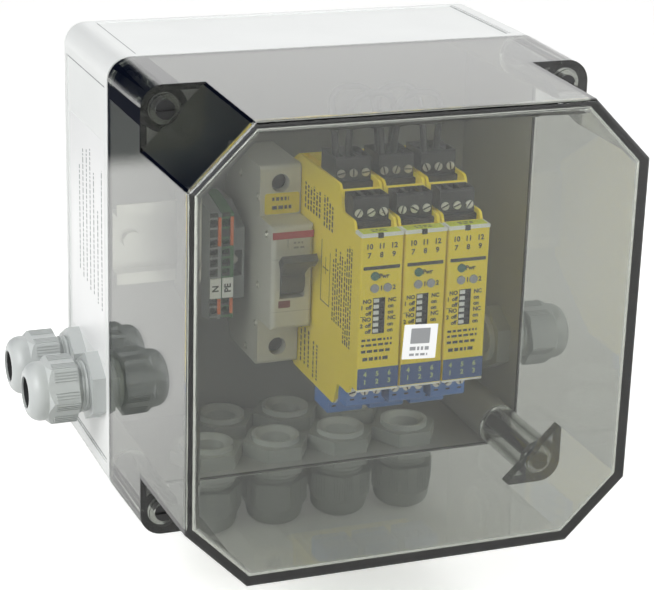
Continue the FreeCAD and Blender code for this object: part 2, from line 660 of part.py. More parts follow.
def make_breaker_latch():
    latch = new_body("breaker_rail_latch")
    low = "railCentre - breakerHeight/2 - latchTab"
    under = "railCentre - %s" % flange_edge
    outline = [(minus(lip_back), low), (minus(latch_front), low), (minus(latch_front), under),
               (minus(lip_front), under), (minus(lip_front), under + " + hookLip"),
               (minus(lip_back), under + " + hookLip")]
    pad(latch, "YZ_Plane", breaker_middle + " - latchWidth/2", "latchWidth", outlines=[outline])
    return latch


# Isolating relay: side profile stepped at both ends, with pockets between the side walls for the plugs

relay_front = from_rail("relayDepth")
plug_rear_top = "relayHeight/2 + plugRise"
plug_front_top = "relayHeight/2 + plugRise - plugFrontDrop"


def relay_middle(index):
    return "(relaysLeft + relayPitch*%g)" % (index - 0.5)


def relay_profile():
    return [(rail_front, "relayBackHeight/2"), (from_rail("relayBackSlope"), "relayHeight/2"),
            (from_rail("relayDepth - relayTallSetback - relayStepSlope"), "relayHeight/2"),
            (from_rail("relayDepth - relayTallSetback + relayStepSlope"), "relayStepHeight/2"),
            (from_rail("relayDepth - relayStepSetback"), "relayStepHeight/2"),
            (from_rail("relayDepth - relayStepSetback + relayStepSlope"), "relayNoseHeight/2"),
            (relay_front, "relayNoseHeight/2")]


def mirrored(depth, low, high):
    deep = (minus(depth[1]), minus(depth[0]))
    return [rectangle(deep, ("railCentre + " + low, "railCentre + " + high)),
            rectangle(deep, ("railCentre - (%s)" % high, "railCentre - (%s)" % low))]


def upright_front_edge(edge):
    start, end = edge.Vertexes[0].Point, edge.Vertexes[-1].Point
    front = min(start.y, end.y) + rail_face()
    return front < 0.01 - size("relayDepth") and edge.Length > size("relayNoseHeight") - 0.01


def make_relay_housing(index):
    housing = new_body("relay_%d_housing" % index)
    middle = relay_middle(index)
    pad(housing, "YZ_Plane", middle + " - relayWidth/2", "relayWidth",
        outlines=[rail_outline(relay_profile())])
    tall_reach = size("relayDepth") - size("relayTallSetback") - size("relayStepSlope")
    step_reach = size("relayDepth") - size("relayStepSetback")
    fillet(housing, "tallEarRound", corner_off_rail(tall_reach, size("relayHeight")))
    fillet(housing, "stepEarRound", corner_off_rail(step_reach, size("relayStepHeight")))
    fillet(housing, "relayEdgeRound", upright_front_edge)
    inside = "relayWidth - 2*sideWall"
    right = middle + " + relayWidth/2 - sideWall"
    front_floor = "relayDepth - plugFrontSetback - plugFrontDepth - plugGap"
    rear_floor = "relayDepth - plugRearSetback - plugRearDepth - plugGap"
    rear = (from_rail(rear_floor), from_rail(front_floor + " - ledgeThick"))
    front = (from_rail(front_floor), relay_front)
    pocket(housing, "YZ_Plane", right, inside,
           outlines=mirrored(rear, plug_rear_top + " - plugHeight", plug_rear_top))
    pocket(housing, "YZ_Plane", right, inside,
           outlines=mirrored(front, plug_front_top + " - plugHeight", plug_rear_top))
    left = middle + " - relayWidth/2 + sideWall"
    groove_deep = (minus(from_rail(rear_floor)), minus(from_rail("relayBackSlope + sideWall")))
    grooves = [rectangle((left, left + " + endGroove"), groove_deep),
               rectangle((right + " - endGroove", right), groove_deep)]
    for end in ("railCentre + relayHeight/2", "railCentre - relayHeight/2 + endGrooveDeep"):
        pocket(housing, "XY_Plane", end, "endGrooveDeep", outlines=grooves)
    window_up = ("railCentre + dipHeight - 3*dipPitch - sliderGap",
                 "railCentre + dipHeight + 3*dipPitch + sliderGap")
    window = rectangle(across_middle(middle + " + dipShift", "dipWidth + 2*sliderGap"), window_up)
    pocket(housing, "XZ_Plane", relay_front, "dipSunk + dipDeep", outlines=[window])
    pocket(housing, "XZ_Plane", relay_front, "lampLength - lampProud",
           circles=[(across, up, "lampRadius + lampGap") for across, up in lamp_places(index)])
    return housing


def lamp_places(index):
    left = relay_middle(index) + " - lampSpread"
    right = relay_middle(index) + " + lampSpread"
    state_up = "railCentre + stateLampHeight"
    return [(left, "railCentre + powerLampHeight"), (left, state_up), (right, state_up)]


def make_lamps():
    span = (relay_front + " - lampLength + lampProud", relay_front + " + lampProud")
    return group("relay_lamps", [rod_along_depth("relay_lamp", "lampRadius", span, at)
                                 for index in (1, 2, 3) for at in lamp_places(index)])


def plug_outline(front, top, deep, side):
    bottom = "(%s - plugHeight)" % top
    back, face = front + " - " + deep, front + " - plugSetback"
    lip = bottom + " + plugLip"
    points = [(back, bottom), (front, bottom), (front, lip), (face, lip),
              (face, top + " - plugChamfer"), (face + " - plugChamfer", top), (back, top)]
    return [(minus(d), "railCentre %s (%s)" % (side, up)) for d, up in points]


plug_levels = [("rear", from_rail("relayDepth - plugRearSetback"), plug_rear_top, "plugRearDepth"),
               ("front", from_rail("relayDepth - plugFrontSetback"), plug_front_top, "plugFrontDepth")]


def pole_across(index, pole):
    return "%s + %d*polePitch" % (relay_middle(index), pole)


def wire_entries(index, front):
    middle = front + " - plugSetback - entrySetback"
    deep = (minus(middle + " + entryLength/2"), minus(middle + " - entryLength/2"))
    return [rectangle(across_middle(pole_across(index, pole), "entryWidth"), deep) for pole in (-1, 0, 1)]


def make_plug(name, index, front, top, deep, side):
    plug = new_body(name)
    width = "(relayWidth - 2*sideWall - 2*plugGap)"
    pad(plug, "YZ_Plane", "%s - %s/2" % (relay_middle(index), width), width,
        outlines=[plug_outline(front, top, deep, side)])
    mouth = {"+": "railCentre + %s", "-": "railCentre - (%s) + entryDeep"}[side] % top
    pocket(plug, "XY_Plane", mouth, "entryDeep", outlines=wire_entries(index, front))
    return plug


def make_plugs(name, side):
    return group(name, [make_plug("%s_%d_%s" % (name, index, level), index, front, top, deep, side)
                        for index in (1, 2, 3) for level, front, top, deep in plug_levels])


def make_plug_screws():
    screws = []
    for index in (1, 2, 3):
        for level, front, top, deep in plug_levels:
            seat = front + " - plugSetback"
            span = (seat, seat + " + poleScrewProud")
            for side in "+-":
                up = "railCentre %s (%s - plugHeight + poleScrewHeight)" % (side, top)
                for pole in (-1, 0, 1):
                    at = (pole_across(index, pole), up)
                    screws.append(rod_along_depth("plug_screw", "poleScrew", span, at))
    return group("plug_screws", screws)


def make_clips_and_cards():
    clips, cards = [], []
    for index in (1, 2, 3):
        width = "relayWidth"
        low = "railCentre + relayNoseHeight/2"
        high = low + " + clipHeight"
        deep = (relay_front + " - clipLength", relay_front)
        card_deep = (deep[0] + " + cardInset", deep[1] + " - cardInset")
        outer = across_middle(relay_middle(index), width)
        inner = across_middle(relay_middle(index), width + " - 2*cardInset")
        clips.append(block("marker_clip", outer, deep, (low, high)))
        cards.append(block("marker_card", inner, card_deep, (high, high + " + cardThick")))
    return group("marker_clips", clips), group("marker_cards", cards)


# Six-way option switch in each relay's front: a body with six channels and a slider in each

def channel_up(way):
    return "railCentre + dipHeight + %g*dipPitch" % (3.5 - way)


dip_front = "(%s - dipSunk)" % relay_front


def make_dip_body(index):
    body = new_body("dip_body_%d" % index)
    middle = relay_middle(index) + " + dipShift"
    span = ("railCentre + dipHeight - 3*dipPitch", "railCentre + dipHeight + 3*dipPitch")
    outline = rectangle(across_middle(middle, "dipWidth"), span)
    pad(body, "XZ_Plane", dip_front + " - dipDeep", "dipDeep", outlines=[outline])
    channel = across_middle(middle, "dipChannel")
    channels = [rectangle(channel, across_middle(channel_up(way), "dipChannelHeight"))
                for way in range(1, 7)]
    pocket(body, "XZ_Plane", dip_front, "dipChannelDeep", outlines=channels)
    return body


def make_dip_slider(index, way):
    name = "relay_%d_option_slider_%d" % (index, way)
    left = relay_middle(index) + " + dipShift - dipChannel/2 + sliderGap"
    floor = dip_front + " - dipChannelDeep + sliderGap"
    slider = block(name, (left, left + " + sliderWidth"), (floor, floor + " + sliderDeep"),
                   across_middle(channel_up(way), "sliderHeight"))
    slider.Label = name
    return slider


# Feed-through terminals with push-in wire entries, test slots and a pusher above and below

earth_right = "(%s - bracketClear - bracketWidth)" % breaker_left
terminal_middles = {"neutral": "(%s - 1.5*terminalPitch)" % earth_right,
                    "earth": "(%s - 0.5*terminalPitch)" % earth_right}
terminal_front = from_rail("terminalDepth")


def pusher_across(kind, gap):
    right = terminal_middles[kind] + " + terminalWidth/2 - 3*pusherGap + %s" % gap
    return ("%s - pusherWidth - 2*%s" % (right, gap), right)


def pusher_up(place, gap):
    low, high = "pusher%sLow" % place, "pusher%sHigh" % place
    return ("railCentre + %s - %s" % (low, gap), "railCentre + %s + %s" % (high, gap))


def make_terminal(kind):
    terminal = new_body("terminal_" + kind)
    profile = [(from_rail("terminalShoulder - 2*hookHeight"), "terminalSpan/2 + hookHeight"),
               (from_rail("terminalShoulder"), "terminalSpan/2 + hookHeight"),
               (terminal_front, "terminalSpan/2")]
    middle = terminal_middles[kind]
    pad(terminal, "YZ_Plane", middle + " - terminalWidth/2", "terminalWidth",
        outlines=[rail_outline(profile)])
    lane = middle + " + wireEntryShift"
    entries = [(lane, "railCentre %s wireEntryHeight" % side, "wireEntry") for side in "+-"]
    pocket(terminal, "XZ_Plane", terminal_front, "wireEntryDeep", circles=entries)
    heights = ["testSlotStart - %d*testSlotPitch" % i for i in range(4)]
    heights.append("(-testSlotStart - testSlotPitch)")
    slot_across = across_middle(lane, "testSlot")
    slots = [rectangle(slot_across, across_middle("railCentre + " + up, "testSlotHeight"))
             for up in heights]
    pocket(terminal, "XZ_Plane", terminal_front, "testSlotDeep", outlines=slots)
    guides = [rectangle(pusher_across(kind, "pusherGap"), pusher_up(place, "pusherGap"))
              for place in ("Upper", "Lower")]
    pocket(terminal, "XZ_Plane", terminal_front, "pusherLength + pusherTravel", outlines=guides)
    return terminal


def make_pusher(kind, place):
    front = terminal_front + " + pusherProud"
    label = "%s_%s_pusher" % (kind, place.lower())
    deep = (front + " - pusherLength", front)
    pusher = block(label, pusher_across(kind, "0"), deep, pusher_up(place, "0"))
    pusher.Label = label
    return pusher


def make_tag(kind):
    label = "%s_marker_tag" % kind
    up = across_middle("railCentre - tagDrop", "tagHeight")
    deep = (terminal_front, terminal_front + " + tagThick")
    tag = block(label, across_middle(terminal_middles[kind], "tagWidth"), deep, up)
    tag.Label = label
    return tag


# End bracket with its clamp screw in a slot

bracket_middle = "(%s - bracketClear - bracketWidth/2)" % breaker_left


def make_end_bracket():
    bracket = new_body("end_bracket")
    profile = [(from_rail("hookHeight"), "bracketSpan/2 + 2*hookHeight"),
               (from_rail("bracketDepth/2"), "bracketSpan/2 + 2*hookHeight"),
               (from_rail("bracketDepth"), "bracketSpan/2")]
    pad(bracket, "YZ_Plane", bracket_middle + " - bracketWidth/2", "bracketWidth",
        outlines=[rail_outline(profile)])
    slot = rectangle(across_middle(bracket_middle, "bracketWidth - 2*sideWall"),
                     across_middle("railCentre", "bracketSlot"))
    pocket(bracket, "XZ_Plane", from_rail("bracketDepth"), "bracketSlotDeep", outlines=[slot])
    return bracket


def make_bracket_screw():
    floor = from_rail("bracketDepth - bracketSlotDeep")
    span = (floor, floor + " + hookHeight")
    return rod_along_depth("end_bracket_screw", "bracketScrew", span, (bracket_middle, "railCentre"))


# Link wires that loop from relay to relay: straight runs joined by arcs

def rounded_path(points):
    edges = []
    start = points[0]
    for before, corner, after in zip(points, points[1:], points[2:]):
        into = (corner - before).normalize()
        out = (after - corner).normalize()
        turn = into.getAngle(out)
        trim = 0.45 * min((corner - before).Length, (after - corner).Length)
        enter, leave = corner - into * trim, corner + out * trim
        radius = trim / math.tan(turn / 2)
        to_centre = (out - into).normalize() * (radius ** 2 + trim ** 2) ** 0.5
        middle = corner + to_centre * (1 - radius / to_centre.Length)
        edges.append(Part.LineSegment(start, enter).toShape())
        edges.append(Part.Arc(enter, middle, leave).toShape())
        start = leave
    edges.append(Part.LineSegment(start, points[-1]).toShape())
    return Part.Wire(edges)


def wire_solid(points, radius):
    path = rounded_path(points)
    section = Part.Face(Part.Wire([Part.Circle(points[0], points[1] - points[0], radius).toShape()]))
    solid = path.makePipe(section)
    expected = math.pi * radius ** 2 * path.Length
    assert abs(solid.Volume - expected) < 0.01 * expected, "wire volume is off"
    return solid


def make_link_wires(name, pole, lean):
    plug_face = rail_face() + size("relayDepth") - size("plugRearSetback") - size("plugSetback")
    entry_depth = plug_face - size("entrySetback")
    plug_top = size("railCentre") + size("relayHeight") / 2 + size("plugRise")
    clamp = plug_top - size("entryDeep")
    bend, crest = plug_top + size("wireStub"), plug_top + size("wireRise")
    wires = []
    for index in (1, 2):
        left = size("relaysLeft") + size("relayPitch") * (index - 0.5) + pole * size("polePitch")
        right = left + size("relayPitch")
        depth = entry_depth + (index - 1.5) * 2 * size("wireSplit")
        rise = [(-depth, clamp), (-depth, bend), (-depth - lean, crest)]
        points = [Vector(left, y, z) for y, z in rise] + [Vector(right, y, z) for y, z in reversed(rise)]
        wires.append(wire_solid(points, size("wireRadius")))
    made = doc.addObject("Part::Feature", name)
    made.Label = name
    made.Shape = Part.makeCompound(wires)
    return made


# The whole unit

node(make_base())
node(make_gasket())
node(make_lid())
for number, (across, up) in enumerate(corners, 1):
    node(make_lid_screw(number, across, up))
unturned = [0] * len(gland_places)
node(gland_group("gland_bodies", gland_body(), unturned))
node(gland_group("gland_locknuts", gland_locknut(), unturned))
node(gland_group("gland_cap_nuts", gland_cap_nut(), cap_turns))
node(gland_group("gland_seals", gland_seal(), unturned))
node(make_rail())
node(make_rail_screws())
node(make_breaker_housing())
node(make_breaker_toggle())
node(make_breaker_screws())
node(make_breaker_latch())
for relay in (1, 2, 3):
    node(make_relay_housing(relay))
node(make_plugs("upper_plugs", "+"))
node(make_plugs("lower_plugs", "-"))
node(make_plug_screws())
node(make_lamps())
for made in make_clips_and_cards():
    node(made)
node(group("option_switch_bodies", [make_dip_body(relay) for relay in (1, 2, 3)]))
for relay in (1, 2, 3):
    for way in range(1, 7):
        node(make_dip_slider(relay, way))
for kind in ("neutral", "earth"):
    node(make_terminal(kind))
    node(make_pusher(kind, "Upper"))
    node(make_pusher(kind, "Lower"))
    node(make_tag(kind))
node(make_end_bracket())
node(make_bracket_screw())
node(make_link_wires("link_wires_live", -1, -size("liveLean")))
node(make_link_wires("link_wires_neutral", 0, size("neutralLean")))

doc.recompute()

for made in doc.Objects:
    assert not {"Invalid", "Error"} & set(made.State), "%s failed: %s" % (made.Label, made.State)
for made in nodes:
    assert not made.Shape.isNull() and made.Shape.isValid(), "%s has no valid shape" % made.Label
    assert made.Shape.Solids, "%s holds no solid" % made.Label

os.makedirs("parts", exist_ok=True)
for made in nodes:
    made.Shape.exportStep("parts/%s.step" % made.Label)
print("%d nodes written" % len(nodes))
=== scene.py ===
import bmesh
import bpy
import json
import math
import random
from mathutils import Matrix, Vector


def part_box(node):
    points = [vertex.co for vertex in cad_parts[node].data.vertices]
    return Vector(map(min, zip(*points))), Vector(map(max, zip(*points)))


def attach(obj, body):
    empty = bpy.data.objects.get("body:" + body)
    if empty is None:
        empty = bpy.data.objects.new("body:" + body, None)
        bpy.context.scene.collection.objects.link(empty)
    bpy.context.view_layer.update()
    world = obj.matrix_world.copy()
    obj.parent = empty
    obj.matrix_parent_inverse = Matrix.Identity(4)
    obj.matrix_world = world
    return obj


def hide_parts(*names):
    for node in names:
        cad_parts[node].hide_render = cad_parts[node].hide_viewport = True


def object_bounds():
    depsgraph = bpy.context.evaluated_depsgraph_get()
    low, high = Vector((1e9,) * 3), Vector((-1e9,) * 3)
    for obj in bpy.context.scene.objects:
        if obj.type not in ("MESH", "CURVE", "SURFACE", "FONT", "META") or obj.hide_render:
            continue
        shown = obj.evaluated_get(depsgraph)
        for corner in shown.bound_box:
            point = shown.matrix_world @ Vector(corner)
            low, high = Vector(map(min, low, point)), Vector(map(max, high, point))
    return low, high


# Wall-mounted isolating relay unit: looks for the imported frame.
# Frame of the CAD model: X right, -Y front, +Z up, metres. Sizes below are in millimetres, apart from the
# studio's, and "depth" is the distance in front of the wall, so Y = -depth.

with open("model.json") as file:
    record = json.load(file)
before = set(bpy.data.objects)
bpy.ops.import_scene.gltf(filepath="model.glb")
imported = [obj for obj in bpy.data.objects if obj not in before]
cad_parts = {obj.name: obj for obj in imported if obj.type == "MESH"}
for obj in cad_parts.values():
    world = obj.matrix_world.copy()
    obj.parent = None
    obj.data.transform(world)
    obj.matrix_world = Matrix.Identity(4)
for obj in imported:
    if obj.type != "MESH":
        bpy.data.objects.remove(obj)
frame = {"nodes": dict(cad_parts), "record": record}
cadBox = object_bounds()
nodes = frame["nodes"]
mm = 0.001
print("frame loaded:", len(nodes), "nodes")

# Kinds of node used again and again, with their settings. A colour mix has its factor at socket 0 and its
# colours at 6 and 7.
mixColours = ("ShaderNodeMix", {"data_type": "RGBA"})
multiplyColours = ("ShaderNodeMix", {"data_type": "RGBA", "blend_type": "MULTIPLY"})
smoothStep = ("ShaderNodeMapRange", {"interpolation_type": "SMOOTHSTEP"})
multiply = ("ShaderNodeMath", {"operation": "MULTIPLY"})
multiplyAdd = ("ShaderNodeMath", {"operation": "MULTIPLY_ADD"})
subtract = ("ShaderNodeMath", {"operation": "SUBTRACT"})
clampedSubtract = ("ShaderNodeMath", {"operation": "SUBTRACT", "use_clamp": True})
lessThan = ("ShaderNodeMath", {"operation": "LESS_THAN"})
greaterThan = ("ShaderNodeMath", {"operation": "GREATER_THAN"})
larger = ("ShaderNodeMath", {"operation": "MAXIMUM"})
white = (1, 1, 1, 1)


# Hex code of a screen colour, made linear for the shaders
def hexColour(code):
    channels = [int(code[i:i + 2], 16) / 255 for i in (0, 2, 4)]
    linear = [c / 12.92 if c <= 0.04045 else ((c + 0.055) / 1.055) ** 2.4 for c in channels]
    return (*linear, 1.0)


def shade(code, factor):
    r, g, b, a = hexColour(code)
    return (min(r * factor, 1), min(g * factor, 1), min(b * factor, 1), a)


# An input is a constant or a source: an output, or a node, which gives the first of its outputs in use.
# A list holds several sources for one socket.
def addNode(tree, kind, settings=None, inputs=None):
    made = tree.nodes.new(kind)
    for key, value in (settings or {}).items():
        setattr(made, key, value)
    for key, value in (inputs or {}).items():
        for source in value if isinstance(value, list) else [value]:
            if isinstance(source, bpy.types.Node):
                source = next(output for output in source.outputs if output.enabled)
            if isinstance(source, bpy.types.NodeSocket):
                tree.links.new(source, made.inputs[key])
            else:
                made.inputs[key].default_value = source
    return made


def newMaterial(name):
    material = bpy.data.materials.new(name)
    material.use_nodes = True
    tree = material.node_tree
    tree.nodes.clear()
    output = addNode(tree, "ShaderNodeOutputMaterial")
    return material, tree, output


def newObject(name, data):
    made = bpy.data.objects.new(name, data)
    bpy.context.scene.collection.objects.link(made)
    return made


def at(across, depth, up):
    return Vector((across * mm, -depth * mm, up * mm))


# Places read from the CAD nodes, so that print and small pieces follow the model
def span(node):
    low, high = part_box(node)
    return {"left": low.x / mm, "right": high.x / mm, "low": low.z / mm, "high": high.z / mm,
            "front": -low.y / mm}


relays = [span("relay_%d_housing" % number) for number in (1, 2, 3)]
relayCentres = [(relay["left"] + relay["right"]) / 2 for relay in relays]
relayFront = relays[0]["front"]
railLevel = (relays[0]["low"] + relays[0]["high"]) / 2
breaker = span("breaker_housing")
base = span("enclosure_base")
panelRecess = 0.7  # depth of the recessed panels in the base's walls

# Camera at the photograph's viewpoint, fitted for a 654 x 590 image; it sees as far as reach, in metres
cameraView = {"place": (-290.83, -810.98, 266.34), "up": (0.0921, 0.3189, 0.9433),
              "ahead": (0.3446, 0.8786, -0.3307), "lens": 114.507, "sensor": 36.0, "reach": 20.0}


def makeCamera(view):
    lens = bpy.data.cameras.new("photoCamera")
    lens.lens = view["lens"]
    lens.sensor_width = view["sensor"]
    lens.clip_end = view["reach"]
    camera = newObject("photoCamera", lens)
    ahead = Vector(view["ahead"]).normalized()
    right = ahead.cross(Vector(view["up"])).normalized()
    up = right.cross(ahead)
    turn = Matrix((right, up, -ahead)).transposed()
    camera.matrix_world = Matrix.Translation(Vector(view["place"]) * mm) @ turn.to_4x4()
    bpy.context.scene.camera = camera


makeCamera(cameraView)
bpy.context.scene.view_settings.view_transform = "Standard"
print("camera set")

# Studio: white surround, pale floor under the lowest glands, soft lamps. Its places and sizes are in metres.
surround = {"seen": 1.0, "mirrored": 1.45, "ambient": 0.24}
floorPaint = {"colour": "F4F4F2", "shade": 0.98, "mottle": 6.0, "roughness": 0.7, "lift": 0.50,
              "through": 0.2, "size": 3.0, "gap": 0.0005}
# To the left behind the box the floor glows in reflections in place of a pale wall, and farther back a dark
# patch is painted on it, which only reflections show
wallGlow = {"glow": 0.75, "start": -0.12, "full": 0.1, "rightEdge": -0.1}
paintedDarkPatch = {"colour": "1C2338", "middle": -0.33, "half": 0.2, "start": 0.47, "full": 0.53, "end": 0.85}
# Dark flags, which only reflections and the clear lid show: behind the box to the upper left, and overhead
flags = [{"colour": "1C2338", "toward": (-0.33, 0.88, 0.34), "inner": 18.0, "outer": 32.0},
         {"colour": "15161A", "toward": (0.34, -0.33, 0.88), "inner": 20.0, "outer": 36.0}]
lampTarget = (0, -0.08, 0)
lamps = {
    "keySoftbox": {"place": (-1.2, -0.6, 0.9), "size": 1.0, "power": 19.5},
    "topSoftbox": {"place": (0.2, 0.1, 1.4), "size": 1.2, "power": 1.5},
    "frontSoftbox": {"place": (1.0, -0.95, 0.75), "size": 0.6, "power": 15.0},
}


def makeWorld(levels):
    world = bpy.data.worlds.new("whiteStudio")
    bpy.context.scene.world = world
    world.use_nodes = True
    tree = world.node_tree
    tree.nodes.clear()
    coords = addNode(tree, "ShaderNodeTexCoord").outputs
    path = addNode(tree, "ShaderNodeLightPath").outputs
    colour = white
    for flag in flags:
        toward = addNode(tree, "ShaderNodeVectorMath", {"operation": "DOT_PRODUCT"},
                         {0: coords["Generated"], 1: Vector(flag["toward"]).normalized()})
        cover = addNode(tree, *smoothStep,
                        {"Value": toward, "From Min": math.cos(math.radians(flag["outer"])),
                         "From Max": math.cos(math.radians(flag["inner"]))})
        unseen = addNode(tree, *clampedSubtract, {0: cover, 1: path["Is Camera Ray"]})
        colour = addNode(tree, *mixColours, {0: unseen, 6: colour, 7: hexColour(flag["colour"])})
    # the studio's pale walls are brighter in reflections than the white seen straight on or through the lid
    straight = addNode(tree, *larger, {0: path["Is Camera Ray"], 1: path["Is Transmission Ray"]})
    level = addNode(tree, "ShaderNodeMapRange",
                    inputs={"Value": straight, "To Min": levels["mirrored"], "To Max": levels["seen"]})
    seen = addNode(tree, "ShaderNodeBackground", inputs={"Color": colour, "Strength": level})
    light = addNode(tree, "ShaderNodeBackground", inputs={"Color": white, "Strength": levels["ambient"]})
    direct = addNode(tree, *larger, {0: path["Is Camera Ray"], 1: path["Is Glossy Ray"]})
    shown = addNode(tree, *larger, {0: direct, 1: path["Is Transmission Ray"]})
    # light that a surface has already scattered gets the ambient level, so the inside of the box stays dim
    unscattered = addNode(tree, *clampedSubtract, {0: shown, 1: path["Diffuse Depth"]})
    mixed = addNode(tree, "ShaderNodeMixShader", inputs={0: unscattered, 1: light, 2: seen})
    addNode(tree, "ShaderNodeOutputWorld", inputs={"Surface": mixed})


def makeLamps(target):
    for name, lamp in lamps.items():
        data = bpy.data.lights.new(name, "AREA")
        data.size = lamp["size"]
        data.energy = lamp["power"]
        made = newObject(name, data)
        made.location = lamp["place"]
        made.rotation_mode = "QUATERNION"
        made.rotation_quaternion = (Vector(target) - made.location).to_track_quat("-Z", "Y")


def makeFloor(paint, wall, darkPatch):
    material, tree, output = newMaterial("Painted_studio_floor")
    path = addNode(tree, "ShaderNodeLightPath").outputs
    coords = addNode(tree, "ShaderNodeTexCoord").outputs
    mottle = addNode(tree, "ShaderNodeTexNoise",
                     inputs={"Vector": coords["Object"], "Scale": paint["mottle"]})
    tone = addNode(tree, *mixColours,
                   {0: mottle, 6: shade(paint["colour"], paint["shade"]), 7: hexColour(paint["colour"])})
    # the floor is lifted to white where the camera sees it, and less where it shows through the lid
    through = addNode(tree, *multiply, {0: path["Is Transmission Ray"], 1: paint["through"]})
    lift = addNode(tree, *multiplyAdd, {0: path["Is Camera Ray"], 1: paint["lift"], 2: through})
    # glow that only reflections show, standing for a pale wall's light, which the lid's left side mirrors
    place = addNode(tree, "ShaderNodeSeparateXYZ", inputs={0: coords["Object"]}).outputs
    behind = addNode(tree, "ShaderNodeMapRange",
                     inputs={"Value": place["Y"], "From Min": wall["start"], "From Max": wall["full"],
                             "To Max": wall["glow"]})
    aside = addNode(tree, *lessThan, {0: place["X"], 1: wall["rightEdge"]})
    # the painted dark patch, which only reflections show and the upper part of the lid's left side mirrors
    across = addNode(tree, "ShaderNodeMath", {"operation": "COMPARE"},
                     {0: place["X"], 1: darkPatch["middle"], 2: darkPatch["half"]})
    before = addNode(tree, *lessThan, {0: place["Y"], 1: darkPatch["end"]})
    inside = addNode(tree, *multiply, {0: across, 1: before})
    cover = addNode(tree, *smoothStep,
                    {"Value": place["Y"], "From Min": darkPatch["start"], "From Max": darkPatch["full"],
                     "To Max": inside})
    lit = addNode(tree, *clampedSubtract, {0: aside, 1: cover})
    wallLight = addNode(tree, *multiply, {0: lit, 1: behind})
    mirrored = addNode(tree, *multiply, {0: path["Is Glossy Ray"], 1: wallLight})
    onlyMirrored = addNode(tree, *clampedSubtract, {0: path["Is Glossy Ray"], 1: path["Is Transmission Ray"]})
    darkened = addNode(tree, *multiply, {0: onlyMirrored, 1: cover})
    tone = addNode(tree, *mixColours, {0: darkened, 6: tone, 7: hexColour(darkPatch["colour"])})
    glow = addNode(tree, "ShaderNodeMath", {"operation": "ADD"}, {0: lift, 1: mirrored})
    surface = addNode(tree, "ShaderNodeBsdfPrincipled",
                      inputs={"Base Color": tone, "Roughness": paint["roughness"],
                              "Emission Color": white, "Emission Strength": glow})
    tree.links.new(surface.outputs[0], output.inputs["Surface"])
    half, level = paint["size"] / 2, cadBox[0].z - paint["gap"]
    mesh = bpy.data.meshes.new("studioFloor")
    mesh.from_pydata([(-half, -half, level), (half, -half, level), (half, half, level), (-half, half, level)],
                     [], [(0, 1, 2, 3)])
    mesh.materials.append(material)
    floor = newObject("studioFloor", mesh)


makeWorld(surround)
makeLamps(lampTarget)
makeFloor(floorPaint, wallGlow, paintedDarkPatch)
print("studio lit")

# Moulded plastics, films and inks. Surface is the roughness, then the size and depth of the grain, which is
# drawn coarser than a mould's own texture so that it shows in the render.
plastics = {
    # baseGrey's inside factor darkens the base inside its walls as painted shade
    "baseGrey": {"name": "Polycarbonate_light_grey", "colour": "E2E4E3", "surface": (0.42, 0.5, 0.02),
                 "inside": 0.4},
    "glandGrey": {"name": "Polyamide_light_grey", "colour": "BFC3C2", "surface": (0.38, 0.6, 0.012)},
    "nutGrey": {"name": "Polyamide_mid_grey_nut", "colour": "9DA19E", "surface": (0.42, 0.6, 0.012)},
    "breakerWhite": {"name": "Thermoset_off_white", "colour": "C8C7C0", "surface": (0.4, 0.5, 0.015)},
    "toggleGrey": {"name": "Polyamide_dark_grey", "colour": "4A4B4E", "surface": (0.45, 0.5, 0.015)},
    "relayYellow": {"name": "Polycarbonate_signal_yellow", "colour": "FFE224", "surface": (0.4, 0.5, 0.012)},
    "plugBlack": {"name": "Polyamide_black", "colour": "1D1E21", "surface": (0.42, 0.5, 0.015)},
    "plugBlue": {"name": "Polyamide_blue", "colour": "4A7BC8", "surface": (0.4, 0.5, 0.012)},
    "switchBlack": {"name": "Thermoplastic_black", "colour": "202225", "surface": (0.5, 0.4, 0.01)},
    "tagWhite": {"name": "Polyamide_white", "colour": "F1F2F0", "surface": (0.4, 0.4, 0.008)},
    "cardGreen": {"name": "Card_yellow_green", "colour": "D3DC3C", "surface": (0.6, 0.3, 0.01)},
    "terminalGrey": {"name": "Polyamide_mid_grey", "colour": "8E9294", "surface": (0.45, 0.5, 0.012),
                     "insets": "terminal_neutral"},
    "terminalGreen": {"name": "Polyamide_earth_green", "colour": "41724A", "surface": (0.45, 0.5, 0.012),
                      "insets": "terminal_earth"},
    "pusherOrange": {"name": "Polyamide_orange", "colour": "E5733A", "surface": (0.4, 0.4, 0.01)},
    "sealBlack": {"name": "Rubber_black", "colour": "1A1B1C", "surface": (0.65, 0.8, 0.03)},
    "wireBlack": {"name": "PVC_black", "colour": "17181A", "surface": (0.38, 0.7, 0.01)},
    "screwDark": {"name": "Polyamide_black_filled", "colour": "1C1C1E", "surface": (0.4, 0.4, 0.02)},
    "labelYellow": {"name": "Label_film_yellow", "colour": "EAD634", "surface": (0.35, 0.8, 0.006)},
    "labelWhite": {"name": "Label_film_white", "colour": "E9EAEA", "surface": (0.35, 0.8, 0.006)},
    "labelBlue": {"name": "Label_film_blue", "colour": "264C88", "surface": (0.35, 0.8, 0.006)},
    "stripeRed": {"name": "Ink_red", "colour": "B23A48", "surface": (0.4, 0.8, 0.004)},
    "windowRed": {"name": "Flag_dark_red", "colour": "6E2434", "surface": (0.35, 0.8, 0.004)},
    "inkBlack": {"name": "Ink_black", "colour": "25262B", "surface": (0.5, 0.6, 0.002)},
    "inkGrey": {"name": "Ink_grey", "colour": "8A8C8E", "surface": (0.5, 0.6, 0.002)},
    "inkPale": {"name": "Ink_pale_green", "colour": "B9C98A", "surface": (0.5, 0.6, 0.002)},
}
# What all of them share: flow is the size of the clouding left by the melt
plasticBody = {"flow": 40.0, "dark": 0.94, "light": 1.05, "polish": 0.05, "bump": 0.6, "ior": 1.53}
noiseReach = (0.3, 0.7)  # most of a noise texture's values lie between these

# Painted shade: inside its walls the base's colour is darkened, standing for the shade in the box
shadedCavity = {"margin": 2.8, "floor": 1.5}


